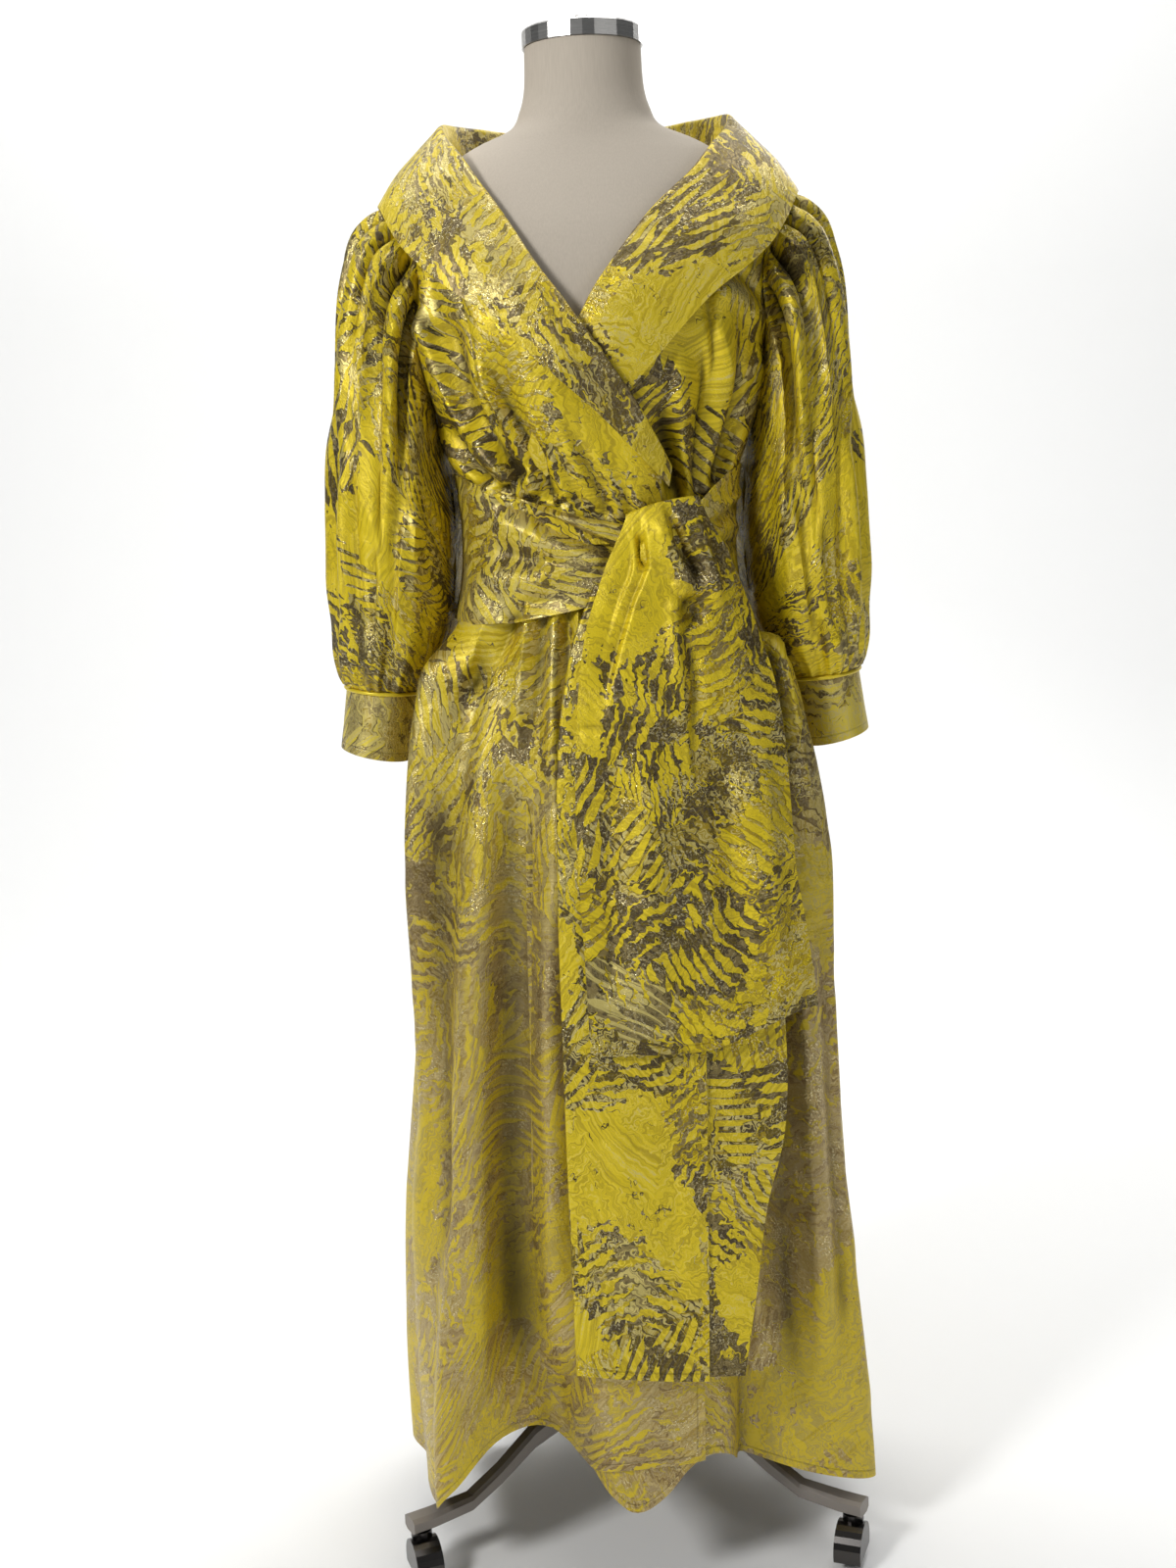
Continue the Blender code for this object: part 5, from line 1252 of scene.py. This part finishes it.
def wide_tail():
    rows, cols = counts("wide_tail")
    top, bottom = TAIL_FRONT[0][0] * MM, TAIL_FRONT[-1][0] * MM
    # The cloth comes forward over the top of the knot, then hangs
    places = [(WIDE_TAIL_BACK * (1 - t) ** 1.4,
               WIDE_TAIL_ARCH * math.sin(math.pi * t) - WIDE_TAIL_START_DROP * (1 - t), top)
              for t in np.linspace(0, 1, fine(9))[:-1]]
    places += [(0, 0, z) for z in np.linspace(top, bottom, rows)]
    grid = []
    for back, rise, z in places:
        row = []
        for share in np.linspace(0, 1, cols):
            slant = -WIDE_TAIL_SLANT * ramp(WIDE_TAIL_SLANT_END, top, z) * (1 - share) ** 2
            hem = WIDE_TAIL_HEM_RISE * ramp(WIDE_TAIL_RISE_FROM, bottom, z)
            hem = hem * ramp(WIDE_TAIL_RISE_SHARE, 1.0, share)
            row.append(tail_surface(TAIL_FRONT, z, share) + np.array([0, back, rise + slant + hem]))
        grid.append(row)
    grid = np.array(grid)
    height = creases_across(grid, WIDE_TAIL_CREASES)
    smooth = soft((WIDE_TAIL_SLANT_END - grid[..., 2]) / FADE["wide_tail"])
    height = height + crumple("wide_tail", grid[..., 0], grid[..., 2]) * smooth
    shell("sash_tail_wide", grid, INSIDE["wide_tail"], height, hems=("bottom",))


def long_tail():
    rows, cols = counts("long_tail")
    top, bottom = TAIL_UNDER[0][0] * MM, TAIL_UNDER[-1][0] * MM
    deep = TAIL_FOLD_SIZE
    shares = np.linspace(0, 1, cols)
    grid = []
    for z in np.linspace(top, bottom, rows):
        drop = np.array([0, 0, -LONG_TAIL_HEM_DROP * ramp(0.5, bottom, z)])
        face = [tail_surface(TAIL_UNDER, z, s) + drop * s for s in shares]
        past = face[-1][0] + smooth_read(TAIL_BACK_LAYER, 1, z / MM) * MM
        lift = smooth_read(TAIL_UNDER, 3, z / MM) * MM - deep
        left = face[0][0]
        row = [drape_point(left + (past - left) * s, z, lift) + drop * s for s in shares[::-1]]
        for turn in np.radians(np.linspace(-TAIL_FOLD_TURN, TAIL_FOLD_TURN, fine(9))):
            reach = deep / 2 * math.cos(turn)
            rise = deep / 2 * (1 + math.sin(turn))
            row.append(drape_point(left, z, lift + rise) - np.array([reach, 0, 0]))
        grid.append(row + face)
    grid = np.array(grid)
    height = creases_across(grid, LONG_TAIL_CREASES)
    height[:, :cols] *= -1
    shell("sash_tail_long", grid, INSIDE["long_tail"], height, hems=("bottom",))


def form():
    """The dress form, closed at the neck and the base by a fan of faces."""
    rows, cols = fine(FORM_ROWS), FORM_COLUMNS
    heights = spline([row[0] for row in FORM_SECTIONS[::-1]], rows)
    rings = [[ring_point(FORM_SECTIONS, 360.0 * k / cols, z * MM) for k in range(cols)] for z in heights]
    rings = np.array(rings)
    at = patches(rows - 1, cols)
    sides = at[..., 0] * cols + at[..., 1] % cols
    points = np.concatenate([rings.reshape(-1, 3), [rings[0].mean(axis=0)], [rings[-1].mean(axis=0)]])
    k = np.arange(0, cols, 2)
    base = np.stack([np.full(len(k), rows * cols), (k + 2) % cols, (k + 1) % cols, k], axis=1)
    lid = (rows - 1) * cols
    roof = np.stack([np.full(len(k), rows * cols + 1), lid + k, lid + (k + 1) % cols,
                     lid + (k + 2) % cols], axis=1)
    made = mesh_from("dress_form_look", points, np.concatenate([sides, base, roof]))
    finish_piece(made, "linen")


# Materials

class Value:
    """One output of a node; sums and products with it add maths nodes."""

    def __init__(self, graph, socket):
        self.graph = graph
        self.socket = socket

    def __add__(self, other):
        return self.graph.math("ADD", self, other)

    def __sub__(self, other):
        return self.graph.math("SUBTRACT", self, other)

    def __rsub__(self, other):
        return self.graph.math("SUBTRACT", other, self)

    def __mul__(self, other):
        return self.graph.math("MULTIPLY", self, other)

    def __truediv__(self, other):
        return self.graph.math("DIVIDE", self, other)

    def __abs__(self):
        return self.graph.math("ABSOLUTE", self)

    def beside(self, name):
        """Another output of the same node."""
        return Value(self.graph, self.socket.node.outputs[name])


class Graph:
    """A material and a short way to write its nodes."""

    def __init__(self, name):
        self.material = bpy.data.materials.new(name)
        self.material.use_nodes = True
        self.tree = self.material.node_tree

    def fill(self, node, inputs):
        for key, value in inputs.items():
            if isinstance(value, Value):
                self.tree.links.new(value.socket, node.inputs[key])
            else:
                node.inputs[key].default_value = value

    def add(self, kind, output, inputs, **settings):
        """A new node, its inputs given by name or place; gives one of its outputs."""
        node = self.tree.nodes.new(kind)
        for key, value in settings.items():
            setattr(node, key, value)
        self.fill(node, inputs)
        return Value(self, node.outputs[output])

    def finish(self, **inputs):
        """Fills the shader's inputs and gives the material."""
        named = {key.replace("_", " "): value for key, value in inputs.items()}
        self.fill(self.tree.nodes["Principled BSDF"], named)
        return self.material

    def math(self, operation, *values):
        return self.add("ShaderNodeMath", 0, dict(enumerate(values)), operation=operation)

    def vector(self, operation, *values):
        return self.add("ShaderNodeVectorMath", 0, dict(enumerate(values)), operation=operation)

    def step(self, value, low, high):
        return self.add("ShaderNodeMapRange", "Result", {"Value": value, "From Min": low, "From Max": high},
                        interpolation_type="SMOOTHSTEP")

    def mix(self, share, a, b):
        return self.add("ShaderNodeMix", 2, {0: share, 6: a, 7: b}, data_type="RGBA")

    def noise(self, place, scale, detail=2.0, rough=0.5, flat="2D"):
        return self.add("ShaderNodeTexNoise", "Fac", {"Vector": place, "Scale": scale, "Detail": detail,
                                                      "Roughness": rough}, noise_dimensions=flat)

    def wander(self, place, scale, reach):
        """A vector that wanders about nothing by this reach."""
        colour = self.noise(place, scale, 1.0).beside("Color")
        return self.vector("MULTIPLY", self.vector("SUBTRACT", colour, (0.5, 0.5, 0.5)), reach)

    def split(self, vector):
        first = self.add("ShaderNodeSeparateXYZ", 0, {0: vector})
        return [first.beside(name) for name in "XYZ"]

    def join(self, x, y, z=0.0):
        return self.add("ShaderNodeCombineXYZ", 0, {"X": x, "Y": y, "Z": z})

    def field(self, name):
        return self.add("ShaderNodeAttribute", "Fac", {}, attribute_name=name)

    def grain(self, across, down, detail):
        """Noise drawn out into threads, this many to a metre across and down the object."""
        x, y, z = self.split(self.add("ShaderNodeTexCoord", "Object", {}))
        return self.noise(self.join(x * across, y * across, z * down), 1.0, detail, flat="3D")

    def bump(self, height, strength, distance):
        return self.add("ShaderNodeBump", "Normal", {"Height": height, "Strength": strength,
                                                     "Distance": distance})


def strokes(g, place, scale, stretch, period, seed):
    """One layer of brushwork: combs of strokes that turn from patch to patch.

    Gives its height, two numbers that stay the same over a patch, and its dry-brush streaks.
    """
    moved = g.vector("ADD", place, (seed, seed * 0.7, 0.0))
    x, y, _ = g.split(moved)
    # Patches with ragged edges
    warp = g.vector("ADD", g.wander(moved, 9.0, (0.090, 0.090, 0.0)),
                    g.wander(moved, 110.0, (0.040, 0.024, 0.0)))
    warped = g.vector("ADD", g.join(x * stretch, y), warp)
    patch = g.add("ShaderNodeTexVoronoi", "Color", {"Vector": warped, "Scale": scale},
                  voronoi_dimensions="2D")
    red, green, blue = g.split(patch)
    # Strokes lie mostly across the cloth, leaning either way
    angle = (red - 0.5) * STROKE_LEAN
    cos, sin = g.math("COSINE", angle), g.math("SINE", angle)
    along = x * cos + y * sin
    across = y * cos - x * sin
    # Each comb is bent like a fishbone about its patch's middle, and wanders a little
    apart = (g.split(warped)[0] - g.split(patch.beside("Position"))[0]) * (1 / stretch)
    across = across + abs(apart) * ((green - 0.5) * STROKE_BEND)
    across = across + (g.noise(moved, 12.0, 1.0) - 0.5) * 0.018
    # A stroke has one crisp side and one that the dry brush breaks up
    rows = across / ((green * 0.9 + 0.75) * period)
    comb = g.math("FRACT", rows)
    # Every row is broken into strokes with pointed ends
    start = g.add("ShaderNodeTexWhiteNoise", "Value", {"W": g.math("FLOOR", rows)}, noise_dimensions="1D")
    run = g.math("FRACT", along / STROKE_LONG + start * 7.0)
    body = g.step(run, 0.0, 0.30) * g.step(run, 1.0, 0.62)
    dry = g.noise(g.join(along * 11.0, across * 320.0, seed), 1.0, 3.0, 0.6)
    dabs = g.noise(g.join(along * 24.0, across * 72.0, seed), 1.0)
    height = comb * 0.95 + (dry - 0.5) * 0.7 + (dabs - 0.5) * 0.6 + (body - 0.75) * 0.65
    return height, blue, green, dry


def brocade():
    g = Graph("brocade")
    place = g.add("ShaderNodeUVMap", "UV", {}, uv_map="cloth")
    light, dark, tan, hem, fold = (g.field(name) for name in ("light", "dark", "tan", "hem", "fold"))
    height, kind, other, dry = strokes(g, place, *BRUSH_LAYERS[0])
    height_two, kind_two, other_two, dry_two = strokes(g, place, *BRUSH_LAYERS[1])
    # Ground of each patch: taupe, gold or cream, with fine streaks of the others
    streak = g.step(dry, 0.44, 0.60)
    taupe_here = g.step(kind + (dark - 0.5), 0.47, 0.50)
    cream_here = g.step(kind_two + (light - 0.5), 0.50, 0.53)
    ground = g.mix(taupe_here, g.mix(streak, GOLD, YELLOW), g.mix(streak, TAUPE, GOLD_SHADE))
    ground = g.mix(cream_here, ground, g.mix(g.step(dry_two, 0.46, 0.60), CREAM, GREY_GOLD))
    # A second layer of strokes breaks up the ground
    second = g.mix(g.step(other_two, 0.48, 0.52), g.mix(streak, CREAM, GOLD),
                   g.mix(streak, GREY_GOLD, TAUPE))
    ground = g.mix(g.step(height_two, 0.44, 0.47) * 0.9, ground, second)
    # Yellow strokes on top, with a dark line of painted shade along their edges. Some patches are
    # almost all yellow and some almost bare, and the piece's tone moves them all.
    level = (other - 0.5) * 0.34 + 0.44
    level = level - g.step(other, 0.20, 0.16) * 0.80 + g.step(other, 0.84, 0.88) * 0.30
    level = level + (light - 0.4) * 0.25 + (dark - 0.5) * 0.50
    gap = height - level
    yellow = g.step(gap, -0.010, 0.010)
    line = 1.0 - g.step(abs(gap + 0.03), 0.015, 0.060)
    pale = g.step(light * 0.7 + dry_two * 0.6, 0.50, 0.66)
    satin = g.mix(g.step(dry_two, 0.32, 0.62), YELLOW_SHADE, YELLOW)
    colour = g.mix(yellow, ground, g.mix(pale, satin, g.mix(streak, PALE_YELLOW, CREAM)))
    # Painted shade: a dark line along the strokes' edges
    colour = g.mix(line * (kind_two * 0.5 + 0.40), colour, STROKE_SHADE_AND_STITCH)
    # The lower skirt's paler look, and the stitching along the hems
    low_ground = g.mix(g.step(dry_two, 0.40, 0.62), TAN, TAN_PALE)
    colour = g.mix(tan * 0.85, colour, g.mix(yellow, low_ground, g.mix(streak, DEEP_YELLOW, GOLD)))
    stitched = 1.0 - g.step(abs(hem - STITCH_IN), 0.0004, 0.0011)
    colour = g.mix(stitched * 0.25, colour, STROKE_SHADE_AND_STITCH)
    # The ground is metallic thread that glitters, the yellow is satin, and pale specks of painted glint are
    # mixed into the colour, mostly on the ground
    bare = 1.0 - yellow
    glitter = g.noise(place, 400.0, rough=0.75)
    zone = g.step(g.noise(place, 26.0, rough=0.6), 0.45, 0.60)
    spark = g.step(glitter, 0.54, 0.64) * (bare * 0.90 + 0.10) * (zone * 0.8 + 0.2)
    colour = g.mix(spark * 0.50, colour, GLINT)
    # Painted shade darkens the cloth in its creases, and on a sleeve behind the waist
    colour = g.mix(g.step(fold, 0.48, 1.0) * 0.84, colour, FOLD_SHADE)
    raised = glitter * (zone * 1.3 + 0.7) - stitched * 0.8 + g.noise(place, 24.0) * 6.0
    return g.finish(Base_Color=colour, Metallic=bare * 0.40 + 0.30,
                    Roughness=0.48 - spark * 0.28 + g.step(fold, 0.6, 1.0) * 0.35,
                    Normal=g.bump(raised, 0.75, 0.0006), Specular_IOR_Level=0.5)


def linen():
    g = Graph("linen")
    threads = g.grain(900.0, 60.0, 3.0)
    return g.finish(Base_Color=g.mix(threads, LINEN_DARK, LINEN_PALE), Roughness=0.85,
                    Normal=g.bump(threads, 0.35, 0.0003))


def surface(name, colour, roughness, metallic, brush=0.0):
    """An even surface, or with brush the fine rings of turned metal."""
    g = Graph(name)
    if brush:
        roughness = g.grain(12.0, 2600.0, 2.0) * brush + (roughness - brush / 2)
    return g.finish(Base_Color=colour, Metallic=metallic, Roughness=roughness)


def paint(look, *nodes):
    """Gives solids of the frame a material."""
    for node in nodes:
        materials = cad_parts[node].data.materials
        materials.clear()
        materials.append(LOOKS[look])


# Room

def room():
    """A white floor that curves up into the backdrop, the lights and a dim sky."""
    bend = np.linspace(0, math.pi / 2, 24)[1:]
    profile = [(FLOOR_FRONT, 0.0), (FLOOR_BACK, 0.0)]
    profile += [(FLOOR_BACK + BACKDROP_BEND * math.sin(a), BACKDROP_BEND * (1 - math.cos(a))) for a in bend]
    profile.append((FLOOR_BACK + BACKDROP_BEND, BACKDROP_TOP))
    points = [(x, y, z) for y, z in profile for x in (-FLOOR_SIDE, FLOOR_SIDE)]
    faces = [(2 * k, 2 * k + 1, 2 * k + 3, 2 * k + 2) for k in range(len(profile) - 1)]
    mesh = bpy.data.meshes.new("studio_floor")
    mesh.from_pydata(points, [], faces)
    mesh.shade_smooth()
    mesh.materials.append(surface("floor_paint", FLOOR_COLOUR, 0.75, 0.0))
    stage(bpy.data.objects.new("studio_floor", mesh))
    for name, place, aim, size, power in LIGHTS:
        lamp = bpy.data.lights.new(name, "AREA")
        lamp.shape = "RECTANGLE"
        lamp.size, lamp.size_y = size
        lamp.energy = power
        made = bpy.data.objects.new(name, lamp)
        made.location = place
        made.rotation_euler = (Vector(aim) - Vector(place)).to_track_quat("-Z", "Y").to_euler()
        stage(made)
    world = bpy.data.worlds.new("studio")
    world.use_nodes = True
    sky = world.node_tree.nodes["Background"]
    sky.inputs["Color"].default_value = SKY_COLOUR
    sky.inputs["Strength"].default_value = SKY_STRENGTH
    bpy.context.scene.world = world
    bpy.context.scene.view_settings.view_transform = "Standard"


def stage(made):
    """Puts an object of the studio in the scene."""
    bpy.context.collection.objects.link(made)


def camera():
    pitch, roll = math.radians(CAMERA_PITCH), math.radians(CAMERA_ROLL)
    forward = np.array([0, math.cos(pitch), -math.sin(pitch)])
    across = np.array([1.0, 0, 0])
    up = np.cross(across, forward)
    right = math.cos(roll) * across - math.sin(roll) * up
    top = math.sin(roll) * across + math.cos(roll) * up
    lens = bpy.data.cameras.new("photo_camera")
    lens.sensor_fit = "VERTICAL"
    lens.sensor_height = 24
    lens.lens = CAMERA_LENS
    place = np.array([CAMERA_SIDE, -CAMERA_BACK, CAMERA_HEIGHT]) + AXIS
    made = bpy.data.objects.new("photo_camera", lens)
    frame = np.eye(4)
    frame[:3] = np.stack([right, top, -forward, place], axis=1)
    made.matrix_world = Matrix(frame.tolist())
    bpy.context.collection.objects.link(made)
    bpy.context.scene.camera = made


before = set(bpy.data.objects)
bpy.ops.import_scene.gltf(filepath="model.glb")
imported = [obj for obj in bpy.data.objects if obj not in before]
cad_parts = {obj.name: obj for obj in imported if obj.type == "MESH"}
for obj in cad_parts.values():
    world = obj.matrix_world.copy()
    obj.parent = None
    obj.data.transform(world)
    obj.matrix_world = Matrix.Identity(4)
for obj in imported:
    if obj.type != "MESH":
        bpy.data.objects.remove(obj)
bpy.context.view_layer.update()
low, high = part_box("pole")
AXIS = np.array([(low[0] + high[0]) / 2, (low[1] + high[1]) / 2, 0.0])
LOOKS = {
    "brocade": brocade(),
    "piping": surface("piping_satin", (0.72, 0.56, 0.03, 1.0), 0.42, 0.3),
    "linen": linen(),
    "brushed_steel": surface("brushed_steel", (0.50, 0.49, 0.47, 1.0), 0.30, 1.0, 0.25),
    "painted_iron": surface("painted_iron", (0.24, 0.215, 0.19, 1.0), 0.45, 0.35),
    "caster_metal": surface("caster_metal", (0.075, 0.070, 0.067, 1.0), 0.24, 1.0),
    "caster_tread": surface("caster_tread", (0.03, 0.03, 0.03, 1.0), 0.55, 0.0),
}
bodice()
skirt()
collars()
sleeves()
sash()
knot()
wide_tail()
long_tail()
form()
paint("brushed_steel", "neck_cap", "cap_knob", "pole")
paint("painted_iron", "pole_collar", "hub", "hub_sleeve", "leg_1", "leg_2", "leg_3")
paint("caster_metal", "caster_hood_1", "caster_hood_2", "caster_hood_3")
paint("caster_tread", "caster_wheel_1", "caster_wheel_2", "caster_wheel_3")
room()
camera()
